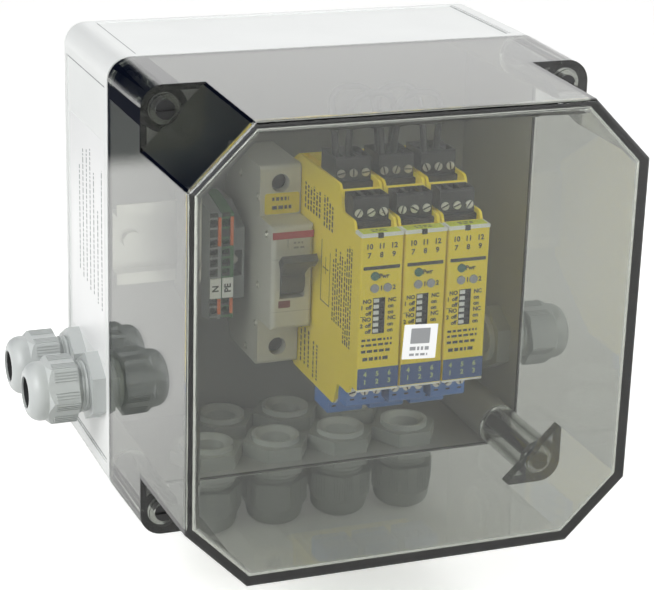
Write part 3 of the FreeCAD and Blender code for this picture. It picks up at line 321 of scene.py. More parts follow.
def paintInsideShade(tree, coords, colour, factor):
    place = addNode(tree, "ShaderNodeSeparateXYZ", inputs={0: coords["Object"]}).outputs
    within = addNode(tree, *lessThan, {0: place["Y"], 1: -shadedCavity["floor"] * mm})
    for axis, half in (("X", base["right"]), ("Z", base["high"])):
        away = addNode(tree, "ShaderNodeMath", {"operation": "ABSOLUTE"}, {0: place[axis]})
        near = addNode(tree, *lessThan, {0: away, 1: (half - shadedCavity["margin"]) * mm})
        within = addNode(tree, *multiply, {0: within, 1: near})
    return addNode(tree, *multiplyColours, {0: within, 6: colour, 7: (factor, factor, factor, 1)})


# Clamp insets: dark fields around the openings in a terminal's front, with the body's colour between them
clampInsets = {"colour": "33363A", "lane": (-2.4, 1.05), "skin": 1.0, "pitch": 4.2, "start": 8.5,
               "share": 0.8}


def darkInsets(tree, coords, colour, node):
    body = span(node)
    place = addNode(tree, "ShaderNodeSeparateXYZ", inputs={0: coords["Object"]}).outputs
    middle = (body["left"] + body["right"]) / 2
    left, right = [(middle + edge) * mm for edge in clampInsets["lane"]]
    beyond = addNode(tree, *greaterThan, {0: place["X"], 1: left})
    before = addNode(tree, *lessThan, {0: place["X"], 1: right})
    atFront = addNode(tree, *lessThan, {0: place["Y"], 1: (clampInsets["skin"] - body["front"]) * mm})
    raised = addNode(tree, *subtract, {0: place["Z"], 1: (railLevel + clampInsets["start"]) * mm})
    turns = addNode(tree, "ShaderNodeMath", {"operation": "DIVIDE"},
                    {0: raised, 1: clampInsets["pitch"] * mm})
    step = addNode(tree, "ShaderNodeMath", {"operation": "FRACT"}, {0: turns})
    mask = addNode(tree, *lessThan, {0: step, 1: clampInsets["share"]})
    for part in (beyond, before, atFront):
        mask = addNode(tree, *multiply, {0: mask, 1: part})
    return addNode(tree, *mixColours, {0: mask, 6: colour, 7: hexColour(clampInsets["colour"])})


def makePlastic(finish, body):
    material, tree, output = newMaterial(finish["name"])
    roughness, grainSize, grainDepth = finish["surface"]
    coords = addNode(tree, "ShaderNodeTexCoord").outputs
    grain = addNode(tree, "ShaderNodeTexNoise",
                    inputs={"Vector": coords["Object"], "Scale": 1 / (grainSize * mm), "Detail": 3.0})
    flow = addNode(tree, "ShaderNodeTexNoise",
                   inputs={"Vector": coords["Object"], "Scale": 1 / (body["flow"] * mm), "Detail": 2.0})
    colour = addNode(tree, *mixColours,
                     {0: flow, 6: shade(finish["colour"], body["dark"]),
                      7: shade(finish["colour"], body["light"])})
    # painted shade inside the base's walls
    if "inside" in finish:
        colour = paintInsideShade(tree, coords, colour, finish["inside"])
    if "insets" in finish:
        colour = darkInsets(tree, coords, colour, finish["insets"])
    polish = addNode(tree, "ShaderNodeMapRange",
                     inputs={"Value": grain, "From Min": noiseReach[0], "From Max": noiseReach[1],
                             "To Min": roughness - body["polish"], "To Max": roughness + body["polish"]})
    bump = addNode(tree, "ShaderNodeBump",
                   inputs={"Strength": body["bump"], "Distance": grainDepth * mm, "Height": grain})
    surface = addNode(tree, "ShaderNodeBsdfPrincipled",
                      inputs={"Base Color": colour, "Roughness": polish, "IOR": body["ior"],
                              "Normal": bump})
    tree.links.new(surface.outputs[0], output.inputs["Surface"])
    return material


# Smoked clear polycarbonate: real refraction, with the smoke as absorption inside the wall, so that
# edges seen along the wall go dark. Lamps' shadow rays pass, as light does through the real lid.
smokedLid = {"ior": 1.585, "roughness": 0.005, "smoke": (0.23, 0.265, 0.185), "density": 150.0,
             "lampPass": (0.66, 0.67, 0.64), "waves": 14.0, "waveDepth": 0.02, "waveStrength": 0.05}


def makeSmokedLid(finish):
    material, tree, output = newMaterial("Polycarbonate_smoked")
    coords = addNode(tree, "ShaderNodeTexCoord").outputs
    waves = addNode(tree, "ShaderNodeTexNoise",
                    inputs={"Vector": coords["Object"], "Scale": 1 / (finish["waves"] * mm), "Detail": 1.0})
    bump = addNode(tree, "ShaderNodeBump",
                   inputs={"Strength": finish["waveStrength"], "Distance": finish["waveDepth"] * mm,
                           "Height": waves})
    wall = addNode(tree, "ShaderNodeBsdfPrincipled",
                   inputs={"Base Color": white, "Roughness": finish["roughness"], "IOR": finish["ior"],
                           "Transmission Weight": 1.0, "Normal": bump})
    clear = addNode(tree, "ShaderNodeBsdfTransparent", inputs={"Color": (*finish["lampPass"], 1)})
    path = addNode(tree, "ShaderNodeLightPath").outputs
    mixed = addNode(tree, "ShaderNodeMixShader", inputs={0: path["Is Shadow Ray"], 1: wall, 2: clear})
    smoke = addNode(tree, "ShaderNodeVolumeAbsorption",
                    inputs={"Color": (*finish["smoke"], 1), "Density": finish["density"]})
    tree.links.new(mixed.outputs[0], output.inputs["Surface"])
    tree.links.new(smoke.outputs[0], output.inputs["Volume"])
    return material


# Steels: bright metal with a faint cloudy plating, and a darker copy of it for the screws deep in the
# breaker, as painted shade
steels = {"zincSteel": {"name": "Zinc_plated_steel", "colour": "D0CFC6", "roughness": 0.3, "cloud": 6.0},
          "darkSteel": {"name": "Darkened_steel", "colour": "3A3A3D", "roughness": 0.5, "cloud": 2.0}}
plating = {"dark": 0.94, "light": 1.04, "polish": 0.03}


def makeSteel(finish, plate):
    material, tree, output = newMaterial(finish["name"])
    coords = addNode(tree, "ShaderNodeTexCoord").outputs
    cloud = addNode(tree, "ShaderNodeTexNoise",
                    inputs={"Vector": coords["Object"], "Scale": 1 / (finish["cloud"] * mm), "Detail": 4.0})
    tone = addNode(tree, *mixColours,
                   {0: cloud, 6: shade(finish["colour"], plate["dark"]),
                    7: shade(finish["colour"], plate["light"])})
    polish = addNode(tree, "ShaderNodeMapRange",
                     inputs={"Value": cloud, "From Min": noiseReach[0], "From Max": noiseReach[1],
                             "To Min": finish["roughness"] - plate["polish"],
                             "To Max": finish["roughness"] + plate["polish"]})
    metal = addNode(tree, "ShaderNodeBsdfPrincipled",
                    inputs={"Base Color": tone, "Roughness": polish, "Metallic": 1.0})
    tree.links.new(metal.outputs[0], output.inputs["Surface"])
    return material


# Lamp lenses: the power lamp, above the split height, is green and the two state lamps are grey
lampLens = {"green": "2F6F58", "grey": "A7A8AA", "split": 13.0, "haze": 0.8, "hazeTone": 0.75,
            "roughness": 0.2, "ior": 1.5, "coat": 0.5}


def makeLampLens(finish):
    material, tree, output = newMaterial("Lamp_lens_diffused")
    coords = addNode(tree, "ShaderNodeTexCoord").outputs
    place = addNode(tree, "ShaderNodeSeparateXYZ", inputs={0: coords["Object"]}).outputs
    isPower = addNode(tree, *greaterThan, {0: place["Z"], 1: (railLevel + finish["split"]) * mm})
    haze = addNode(tree, "ShaderNodeTexNoise",
                   inputs={"Vector": coords["Object"], "Scale": 1 / (finish["haze"] * mm), "Detail": 2.0})
    hue = addNode(tree, *mixColours,
                  {0: isPower, 6: hexColour(finish["grey"]), 7: hexColour(finish["green"])})
    tone = addNode(tree, *multiplyColours, {0: haze, 6: hue, 7: (*[finish["hazeTone"]] * 3, 1)})
    lens = addNode(tree, "ShaderNodeBsdfPrincipled",
                   inputs={"Base Color": tone, "Roughness": finish["roughness"], "IOR": finish["ior"],
                           "Coat Weight": finish["coat"]})
    tree.links.new(lens.outputs[0], output.inputs["Surface"])
    return material


finishes = {key: makePlastic(finish, plasticBody) for key, finish in plastics.items()}
finishes["lidSmoked"] = makeSmokedLid(smokedLid)
finishes.update({key: makeSteel(finish, plating) for key, finish in steels.items()})
finishes["lampClear"] = makeLampLens(lampLens)
# A record's slot such as base_grey gets the finish baseGrey
for part in frame["record"]["subparts"]:
    first, second = part["material_slot"].split("_")
    for materialSlot in nodes[part["node"]].material_slots:
        materialSlot.material = finishes[first + second.capitalize()]
# painted shade: the screws deep in the breaker get the darker steel
nodes["breaker_terminal_screws"].material_slots[0].material = finishes["darkSteel"]
nodes["gland_locknuts"].material_slots[0].material = finishes["nutGrey"]
print("finishes on the CAD nodes:", len(finishes))


# A piece made in bmesh or in nodes becomes an object with its finish, on its body
def keepPiece(name, shape, finish, body="enclosure"):
    mesh = shape
    if isinstance(shape, bmesh.types.BMesh):
        mesh = bpy.data.meshes.new(name)
        shape.to_mesh(mesh)
        shape.free()
    mesh.name = name
    mesh.materials.clear()
    mesh.materials.append(finishes[finish])
    piece = newObject(name, mesh)
    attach(piece, body)
    return piece


def evaluatedMesh(holder):
    bpy.context.view_layer.update()
    return bpy.data.meshes.new_from_object(holder.evaluated_get(bpy.context.evaluated_depsgraph_get()))


def addBlock(mesh, low, high):
    made = bmesh.ops.create_cube(mesh, size=1.0)
    middle, sides = (low + high) / 2, high - low
    for vert in made["verts"]:
        vert.co = middle + Vector([vert.co[i] * abs(sides[i]) for i in range(3)])
    return made["verts"]


# Thin plate with rounded corners; its thickness lies along the given axis. It is made apart and then added,
# so that the order of the faces is the same on every run.
def addPlate(mesh, low, high, axis, radius):
    plate = bmesh.new()
    corners = addBlock(plate, low, high)
    thick = abs(high[axis] - low[axis])
    edges = {edge for vert in corners for edge in vert.link_edges
             if abs(edge.verts[0].co[axis] - edge.verts[1].co[axis]) > thick / 2}
    bmesh.ops.bevel(plate, geom=list(edges), offset=radius * mm, segments=4, affect="EDGES", profile=0.5)
    rounded = bpy.data.meshes.new("plate")
    plate.to_mesh(rounded)
    plate.free()
    mesh.from_mesh(rounded)
    bpy.data.meshes.remove(rounded)


# Text is set flat, made a mesh and then stood up on a face that looks to the front. A capital is capShare of
# the font's size.
lettering = {"capShare": 0.7, "extrude": 0.02, "steps": 3}


def addText(mesh, words, height, across, depth, up, align="CENTER", turn=0.0, weight=0.0):
    letters = bpy.data.curves.new("letters", "FONT")
    letters.body = words
    letters.size = height / lettering["capShare"] * mm
    letters.extrude = lettering["extrude"] * mm
    letters.offset = weight * mm
    letters.align_x = align
    letters.align_y = "CENTER"
    letters.resolution_u = lettering["steps"]
    holder = newObject("letters", letters)
    flat = evaluatedMesh(holder)
    upright = Matrix(((1, 0, 0), (0, 0, -1), (0, 1, 0))).to_4x4()
    flat.transform(Matrix.Translation(at(across, depth, up)) @ upright @ Matrix.Rotation(turn, 4, "Z"))
    mesh.from_mesh(flat)
    bpy.data.objects.remove(holder)
    bpy.data.curves.remove(letters)
    bpy.data.meshes.remove(flat)


# Link wires: the route's points are those of the CAD wires, and the line is a NURBS spline
linkWires = {"radius": 1.4, "pole": 5.08, "clamp": 5.0, "stub": 5.5, "rise": 22.1, "setback": 36.9,
             "split": 1.75, "lean": {"live": 8.0, "neutral": -5.0}}


def makeLinkWires(wires):
    poles = {"live": -wires["pole"], "neutral": 0.0}
    plugTop = span("upper_plugs")["high"]
    for pole, shift in poles.items():
        for index in (0, 1):
            depth = relayFront - wires["setback"] + (index - 0.5) * 2 * wires["split"]
            heights = [(depth, plugTop - wires["clamp"]), (depth, plugTop + wires["stub"]),
                       (depth - wires["lean"][pole], plugTop + wires["rise"])]
            route = [at(relayCentres[index] + shift, d, up) for d, up in heights]
            route += [at(relayCentres[index + 1] + shift, d, up) for d, up in reversed(heights)]
            curve = bpy.data.curves.new("wire", "CURVE")
            curve.dimensions = "3D"
            spline = curve.splines.new("NURBS")
            spline.points.add(len(route) - 1)
            for point, place in zip(spline.points, route):
                point.co = (*place, 1.0)
            spline.order_u = 3
            spline.use_endpoint_u = True
            spline.resolution_u = 12
            curve.bevel_depth = wires["radius"] * mm
            curve.bevel_resolution = 4
            curve.use_fill_caps = True
            curve.materials.append(finishes["wireBlack"])
            wire = newObject("linkWire_%s_%d" % (pole, index + 1), curve)
            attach(wire, "enclosure")
            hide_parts("link_wires_" + pole)


makeLinkWires(linkWires)


# Geometry Nodes: a tree with named inputs, run once on carrier points and kept as a plain mesh
def newTree(name, inputs):
    tree = bpy.data.node_groups.new(name, "GeometryNodeTree")
    tree.interface.new_socket("Geometry", in_out="INPUT", socket_type="NodeSocketGeometry")
    for label in inputs:
        tree.interface.new_socket(label, in_out="INPUT", socket_type="NodeSocketFloat")
    tree.interface.new_socket("Material", in_out="INPUT", socket_type="NodeSocketMaterial")
    tree.interface.new_socket("Geometry", in_out="OUTPUT", socket_type="NodeSocketGeometry")
    return tree, addNode(tree, "NodeGroupInput").outputs


# The last nodes of every tree: the instance at each carrier point, made real and given its material
def endTree(tree, given, instance):
    turn = addNode(tree, "GeometryNodeInputNamedAttribute", {"data_type": "FLOAT_VECTOR"}, {"Name": "turn"})
    rotation = addNode(tree, "FunctionNodeEulerToRotation", inputs={0: turn})
    placed = addNode(tree, "GeometryNodeInstanceOnPoints",
                     inputs={"Points": given["Geometry"], "Instance": instance, "Rotation": rotation})
    real = addNode(tree, "GeometryNodeRealizeInstances", inputs={0: placed})
    painted = addNode(tree, "GeometryNodeSetMaterial",
                      inputs={"Geometry": real, "Material": given["Material"]})
    addNode(tree, "NodeGroupOutput", inputs={0: painted})


def runTree(tree, places, sizes, finish):
    carrier = bpy.data.meshes.new(tree.name)
    carrier.from_pydata([place.translation for place in places], [], [])
    turns = carrier.attributes.new("turn", "FLOAT_VECTOR", "POINT")
    for item, place in zip(turns.data, places):
        item.vector = place.to_euler()
    holder = newObject(tree.name, carrier)
    modifier = holder.modifiers.new(tree.name, "NODES")
    modifier.node_group = tree
    sockets = {item.name: item.identifier for item in tree.interface.items_tree if item.in_out == "INPUT"}
    for label, value in sizes.items():
        modifier[sockets[label]] = value * mm
    modifier[sockets["Material"]] = finishes[finish]
    mesh = evaluatedMesh(holder)
    holder.modifiers.clear()
    bpy.data.objects.remove(holder)
    bpy.data.meshes.remove(carrier)
    return mesh


# Gland seats, each with the turn of its cap nut about its own axis
glandSeats = {"bottomSeat": base["low"] + panelRecess, "sideSeat": base["right"] - panelRecess, "pitch": 29.3,
              "frontRow": 51.0, "backRow": 22.0, "left": [(49.0, -49.2), (19.0, -49.2)],
              "right": (48.0, -47.0), "capTurns": [10, 21, 41, 58, 15, 35, 50, 25, 25, 40]}


def seatPlaces(seats):
    down = Matrix.Rotation(math.pi, 4, "X")
    left = Matrix.Rotation(-math.pi / 2, 4, "Y")
    right = Matrix.Rotation(math.pi / 2, 4, "Y")
    rows = [(down, ((i - 1.5) * seats["pitch"], seats["frontRow"], seats["bottomSeat"])) for i in range(4)]
    rows += [(down, ((i - 1) * seats["pitch"], seats["backRow"], seats["bottomSeat"])) for i in range(3)]
    rows += [(left, (-seats["sideSeat"], depth, up)) for depth, up in seats["left"]]
    rows += [(right, (seats["sideSeat"], *seats["right"]))]
    return [Matrix.Translation(at(*place)) @ turn @ Matrix.Rotation(math.radians(spin), 4, "Z")
            for (turn, place), spin in zip(rows, seats["capTurns"])]


# Grip ribs: four beside each edge of the cap nut's flats. Half a side of a hexagon is halfSide of its flats.
gripRibs = {"Cap flats": 24.0, "Rib pitch": 1.2, "Rib width": 0.55, "Rib proud": 0.9, "Rib length": 9.6,
            "Cap start": 10.7, "Edge margin": 1.0}
gripLayout = {"ribs": 4, "flats": 6, "halfSide": 0.2887, "firstTurn": 30, "turn": 60}


def makeGripRibs(sizes, layout):
    tree, given = newTree("gripRibs", sizes)
    section = addNode(tree, "ShaderNodeCombineXYZ",
                      inputs={"X": given["Rib proud"], "Y": given["Rib width"], "Z": given["Rib length"]})
    rib = addNode(tree, "GeometryNodeMeshCube", inputs={"Size": section})
    out = addNode(tree, *multiply, {0: given["Cap flats"], 1: 0.5})
    halfSide = addNode(tree, *multiply, {0: given["Cap flats"], 1: layout["halfSide"]})
    first = addNode(tree, *subtract, {0: halfSide, 1: given["Edge margin"]})
    middle = addNode(tree, *multiplyAdd, {0: given["Rib length"], 1: 0.5, 2: given["Cap start"]})
    lines = []
    for side in (1.0, -1.0):
        aside = addNode(tree, *multiply, {0: first, 1: side})
        inward = addNode(tree, *multiply, {0: given["Rib pitch"], 1: -side})
        place = addNode(tree, "ShaderNodeCombineXYZ", inputs={"X": out, "Y": aside, "Z": middle})
        step = addNode(tree, "ShaderNodeCombineXYZ", inputs={"Y": inward})
        line = addNode(tree, "GeometryNodeMeshLine",
                       inputs={"Count": layout["ribs"], "Start Location": place, "Offset": step})
        lines.append(line)
    both = addNode(tree, "GeometryNodeJoinGeometry", inputs={0: lines})
    flat = addNode(tree, "GeometryNodeInstanceOnPoints", inputs={"Points": both, "Instance": rib})
    axis = addNode(tree, "GeometryNodeMeshLine", inputs={"Count": layout["flats"], "Offset": (0, 0, 0)})
    number = addNode(tree, "GeometryNodeInputIndex")
    angle = addNode(tree, *multiplyAdd,
                    {0: number, 1: math.radians(layout["turn"]), 2: math.radians(layout["firstTurn"])})
    euler = addNode(tree, "ShaderNodeCombineXYZ", inputs={"Z": angle})
    spin = addNode(tree, "FunctionNodeEulerToRotation", inputs={0: euler})
    six = addNode(tree, "GeometryNodeInstanceOnPoints",
                  inputs={"Points": axis, "Instance": flat, "Rotation": spin})
    endTree(tree, given, six)
    mesh = runTree(tree, seatPlaces(glandSeats), sizes, "glandGrey")
    keepPiece("glandGripRibs", mesh, "glandGrey")


# Thread that shows on the neck between flange and cap nut
neckThread = {"Core radius": 9.95, "Ridge radius": 0.62, "Start": 6.3, "Height": 3.3}
threadLayout = {"turns": 2.0, "stepsPerTurn": 36, "ridgeSides": 6}


def makeNeckThreads(sizes, layout):
    tree, given = newTree("neckThread", sizes)
    spiral = addNode(tree, "GeometryNodeCurveSpiral",
                     inputs={"Resolution": layout["stepsPerTurn"], "Rotations": layout["turns"],
                             "Start Radius": given["Core radius"], "End Radius": given["Core radius"],
                             "Height": given["Height"]})
    ridge = addNode(tree, "GeometryNodeCurvePrimitiveCircle",
                    inputs={"Resolution": layout["ridgeSides"], "Radius": given["Ridge radius"]})
    thread = addNode(tree, "GeometryNodeCurveToMesh",
                     inputs={"Curve": spiral, "Profile Curve": ridge, "Fill Caps": True})
    lift = addNode(tree, "ShaderNodeCombineXYZ", inputs={"Z": given["Start"]})
    raised = addNode(tree, "GeometryNodeTransform", inputs={"Geometry": thread, "Translation": lift})
    endTree(tree, given, raised)
    mesh = runTree(tree, seatPlaces(glandSeats), sizes, "glandGrey")
    mesh.shade_smooth()
    keepPiece("glandNeckThreads", mesh, "glandGrey")


# Plugs have two tiers of three poles; levels of screws and wire entries are from the rail's centre
plugRows = {"pitch": 5.08, "setbacks": (12.8, 32.1), "screws": (36.8, 47.1), "entries": (-39.9, -50.2)}
# Slotted screws of the plugs: three to a plug, slots left at any angle, with painted shade: a black film in
# the bottom of each slot
plugScrews = {"Head radius": 1.65, "Head height": 0.6, "Slot width": 0.7, "Slot depth": 0.45}
headSides = 24
slotShade = {"reach": 1.85, "thick": 0.05, "lift": 0.03}


def makePlugScrews(sizes, rows, slotShadeSizes):
    tree, given = newTree("plugScrew", sizes)
    head = addNode(tree, "GeometryNodeMeshCylinder",
                   inputs={"Vertices": headSides, "Radius": given["Head radius"],
                           "Depth": given["Head height"]})
    reach = addNode(tree, *multiply, {0: given["Head radius"], 1: 3.0})
    deep = addNode(tree, *multiply, {0: given["Slot depth"], 1: 2.0})
    level = addNode(tree, *multiply, {0: given["Head height"], 1: 0.5})
    blade = addNode(tree, "ShaderNodeCombineXYZ", inputs={"X": reach, "Y": given["Slot width"], "Z": deep})
    raised = addNode(tree, "ShaderNodeCombineXYZ", inputs={"Z": level})
    slot = addNode(tree, "GeometryNodeMeshCube", inputs={"Size": blade})
    slotPlace = addNode(tree, "GeometryNodeTransform", inputs={"Geometry": slot, "Translation": raised})
    slotted = addNode(tree, "GeometryNodeMeshBoolean", {"operation": "DIFFERENCE"},
                      {"Mesh 1": head, "Mesh 2": slotPlace})
    endTree(tree, given, slotted)
    chance = random.Random(7)
    places = []
    spots = [(centre + pole * rows["pitch"], relayFront - setback, railLevel + side * height)
             for centre in relayCentres for setback, height in zip(rows["setbacks"], rows["screws"])
             for side in (1, -1) for pole in (-1, 0, 1)]
    for across, depth, up in spots:
        spin = Matrix.Rotation(chance.uniform(0, math.pi), 4, "Z")
        centre = Matrix.Translation(at(across, depth + sizes["Head height"] / 2, up))
        places.append(centre @ Matrix.Rotation(math.pi / 2, 4, "X") @ spin)
    mesh = runTree(tree, places, sizes, "zincSteel")
    screws = keepPiece("plugScrewHeads", mesh, "zincSteel")
    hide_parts("plug_screws")
    # Painted shade: a thin black film in the bottom of each slot
    floors = bmesh.new()
    level = sizes["Head height"] / 2 - sizes["Slot depth"] + slotShadeSizes["lift"]
    lengths = (slotShadeSizes["reach"] * sizes["Head radius"] * mm, sizes["Slot width"] * mm, slotShadeSizes["thick"] * mm, 1)
    for place in places:
        matrix = place @ Matrix.Translation((0, 0, level * mm)) @ Matrix.Diagonal(lengths)
        bmesh.ops.create_cube(floors, size=1.0, matrix=matrix)
    keepPiece("plugScrewSlots", floors, "inkBlack")


makeGripRibs(gripRibs, gripLayout)
makeNeckThreads(neckThread, threadLayout)
makePlugScrews(plugScrews, plugRows, slotShade)
print("gland ribs, threads and plug screws made")

# Fine print: rows of short bars. Corner, run, step and lift are (across, depth, up); a row fills a share of
# its length with bars, and a gap follows each.
finePrint = {"share": (0.8, 1.0), "bar": (0.8, 2.4), "gap": 0.6}
rightward, outward, upward = (1, 0, 0), (0, 1, 0), (0, 0, 1)
ink = 0.03  # thickness of printed bars and letters


def addFinePrint(mesh, chance, corner, length, thick, run=rightward, step=upward, rows=1, lift=(0, ink, 0)):
    along, down, out = Vector(run), Vector(step), Vector(lift)
    for row in range(rows):
        begin = Vector(corner) + down * row
        place, end = 0.0, length * chance.uniform(*finePrint["share"])
        while place < end:
            bar = min(chance.uniform(*finePrint["bar"]), end - place)
            low = begin + along * place
            high = low + along * bar + down.normalized() * thick + out
            addBlock(mesh, at(*low), at(*high))
            place += bar + finePrint["gap"]


# Print on each relay's front: pole numbers, words at the lamps and switches, bars for the rest.
# Levels are heights above the rail's centre and "across" is measured from the relay's middle.
numberColumns = (-5.3, -0.25, 4.8)
relayPrint = {"numberHeight": 2.0, "weight": 0.1, "upperNumbers": ("10", "11", "12"), "upperLevel": 27.2,
              "lowerNumbers": ("7", "8", "9"), "lowerLevel": 23.7,
              "ruleLevel": 18.7, "ruleWidth": 15.0, "ruleHeight": 1.4, "ruleThick": 0.05, "ruleRound": 0.3,
              "powerLevel": 15.2, "powerAcross": -0.95, "stateLevel": 10.3,
              "states": (("1", 0.15), ("2", 5.4)), "lampHeight": 1.8,
              "switchLevel": -0.8, "switchPitch": 2.45, "wordHeight": 1.55,
              "leftWords": ("NO", "off", "off") * 2, "leftAcross": -3.7,
              "rightWords": ("NC", "on", "on") * 2, "rightAcross": 3.15,
              "groupAcross": -7.6, "divider": (-8.2, -5.9), "dividerHalf": 0.12,
              "smallRows": ((-10.9, 0.95), (-13.0, 0.95), (-15.6, 1.1)), "smallStart": -7.3,
              "smallLength": 14.8, "boldRow": (-18.9, 1.4), "boldStart": -6.6, "boldLength": 12.9}


def makeRelayPrint(marks):
    chance = random.Random(3)
    one = bmesh.new()
    heavy, word = marks["weight"], marks["wordHeight"]
    for row in ("upper", "lower"):
        for number, column in zip(marks[row + "Numbers"], numberColumns):
            addText(one, number, marks["numberHeight"], column, ink, marks[row + "Level"], weight=heavy)
    half, thick = marks["ruleWidth"] / 2, marks["ruleHeight"] / 2
    addPlate(one, at(-half, 0, marks["ruleLevel"] - thick),
             at(half, marks["ruleThick"], marks["ruleLevel"] + thick), 1, marks["ruleRound"])
    addText(one, "Pwr", marks["lampHeight"], marks["powerAcross"], ink, marks["powerLevel"], align="LEFT",
            weight=heavy)
    for number, across in marks["states"]:
        addText(one, number, marks["lampHeight"], across, ink, marks["stateLevel"], weight=heavy)
    for way in range(6):
        level = marks["switchLevel"] + (2.5 - way) * marks["switchPitch"]
        for side, align in (("left", "RIGHT"), ("right", "LEFT")):
            addText(one, marks[side + "Words"][way], word, marks[side + "Across"], ink, level, align=align,
                    weight=heavy)
        if way in (1, 4):
            addText(one, str(way // 3 + 1), word, marks["groupAcross"], ink, level, weight=heavy)
    (start, end), middle, thin = marks["divider"], marks["switchLevel"], marks["dividerHalf"]
    addBlock(one, at(start, 0, middle - thin), at(end, ink, middle + thin))
    for level, tall in marks["smallRows"]:
        addFinePrint(one, chance, (marks["smallStart"], 0, level), marks["smallLength"], tall)
    level, tall = marks["boldRow"]
    addFinePrint(one, chance, (marks["boldStart"], 0, level), marks["boldLength"], tall)
    master = bpy.data.meshes.new("relayInk")
    one.to_mesh(master)
    one.free()
    allThree = bmesh.new()
    for centre in relayCentres:
        copy = master.copy()
        copy.transform(Matrix.Translation(at(centre, relayFront, railLevel)))
        allThree.from_mesh(copy)
        bpy.data.meshes.remove(copy)
    bpy.data.meshes.remove(master)
    keepPiece("relayFrontPrint", allThree, "inkBlack")


# Small print on the left side of the first relay, in upright columns, and a thin wiring sketch.
# A block is its corner (depth, up), its length, and the count, pitch and thickness of its columns.
sidePrint = {"thick": 0.04,
             "blocks": [((58.5, 22.5), 12.0, 6, 3.2, 1.5), ((80.0, 21.0), 13.0, 4, 2.9, 1.4),
                        ((91.5, -14.5), 31.0, 5, 2.3, 1.1), ((103.6, -20.0), 42.0, 4, 2.2, 1.1),
                        ((57.5, -44.0), 19.0, 3, 4.4, 1.3), ((72.0, -46.0), 16.0, 2, 4.0, 1.2)],
             "sketch": [((78.6, 15.0), (79.1, -10.0)), ((78.6, -10.0), (88.0, -10.4)),
                        ((88.0, -10.4), (88.4, 12.0)), ((83.4, 2.0), (83.8, 9.0)),
                        ((80.5, 4.0), (86.6, 4.4))]}


def makeSidePrint(marks):
    chance = random.Random(11)
    mesh = bmesh.new()
    face = relays[0]["left"]
    for (depth, low), length, columns, pitch, thick in marks["blocks"]:
        addFinePrint(mesh, chance, (face, depth, low), length, thick, run=upward, step=(0, pitch, 0),
                     rows=columns, lift=(-marks["thick"], 0, 0))
    for (depthA, upA), (depthB, upB) in marks["sketch"]:
        addBlock(mesh, at(face, depthA, upA), at(face - marks["thick"], depthB, upB))
    keepPiece("relaySidePrint", mesh, "inkBlack")


# Blue fields at the foot of the relay fronts with pale pole numbers, and white edge strips under them
blueField = {"half": 8.5, "low": -30.6, "high": -22.0, "film": 0.06, "round": 0.25,
             "numberHeight": 1.9, "numberProud": 0.08, "weight": 0.08,
             "rows": ((("4", "5", "6"), -24.6), (("1", "2", "3"), -27.8)),
             "stripDepth": 3.4, "stripHeight": 0.7, "stripGap": 0.2, "stripProud": 0.15, "stripRound": 0.4}


def makeBlueFields(field):
    film, marks, strips = bmesh.new(), bmesh.new(), bmesh.new()
    half, low, high = field["half"], railLevel + field["low"], railLevel + field["high"]
    for centre in relayCentres:
        addPlate(film, at(centre - half, relayFront, low),
                 at(centre + half, relayFront + field["film"], high), 1, field["round"])
        for numbers, level in field["rows"]:
            for number, column in zip(numbers, numberColumns):
                addText(marks, number, field["numberHeight"], centre + column,
                        relayFront + field["numberProud"], railLevel + level, weight=field["weight"])
        foot = low - field["stripHeight"] - field["stripGap"]
        addPlate(strips, at(centre - half, relayFront - field["stripDepth"], foot),
                 at(centre + half, relayFront + field["stripProud"], low - field["stripGap"]),
                 2, field["stripRound"])
    keepPiece("relayBlueFields", film, "labelBlue")
    keepPiece("relayBlueMarks", marks, "inkPale")
    keepPiece("relayFootStrips", strips, "tagWhite")


# Marker cards: bars on the cards and a dark catch at the front edge of each clip
markerCards = {"rows": (4.4, 2.7), "rowStart": -3.6, "rowLength": 7.2, "rowThick": 0.8, "ink": 0.04,
               "catchShift": -0.85, "catchHalf": 1.1, "catchHeight": 2.0, "catchBack": 1.2, "catchFront": 0.2,
               "catchProud": 0.1, "catchRound": 0.3}


def makeMarkerDetails(cards):
    chance = random.Random(9)
    bars, catches = bmesh.new(), bmesh.new()
    top, catchTop = span("marker_cards")["high"], span("marker_clips")["high"] + cards["catchProud"]
    for centre in relayCentres:
        for setback in cards["rows"]:
            addFinePrint(bars, chance, (centre + cards["rowStart"], relayFront - setback, top),
                         cards["rowLength"], cards["rowThick"], step=outward, lift=(0, 0, cards["ink"]))
        middle, half = centre + cards["catchShift"], cards["catchHalf"]
        addPlate(catches, at(middle - half, relayFront - cards["catchBack"], catchTop - cards["catchHeight"]),
                 at(middle + half, relayFront + cards["catchFront"], catchTop), 0, cards["catchRound"])
    keepPiece("markerCardPrint", bars, "inkBlack")
    keepPiece("markerClipCatches", catches, "switchBlack")


# Square sticker near the middle of the lid's front, put on a little askew: plain grey field over two rows
# of bars, each with its level above the lower edge and its thickness
sticker = {"middle": (-0.7, 1.75), "size": 13.3, "round": 0.3, "askew": -3.1, "film": 0.03, "ink": 0.01,
           "field": (7.6, 5.9), "fieldMargin": 1.5, "fieldRound": 0.2, "rows": ((3.3, 1.4), (1.2, 0.9))}


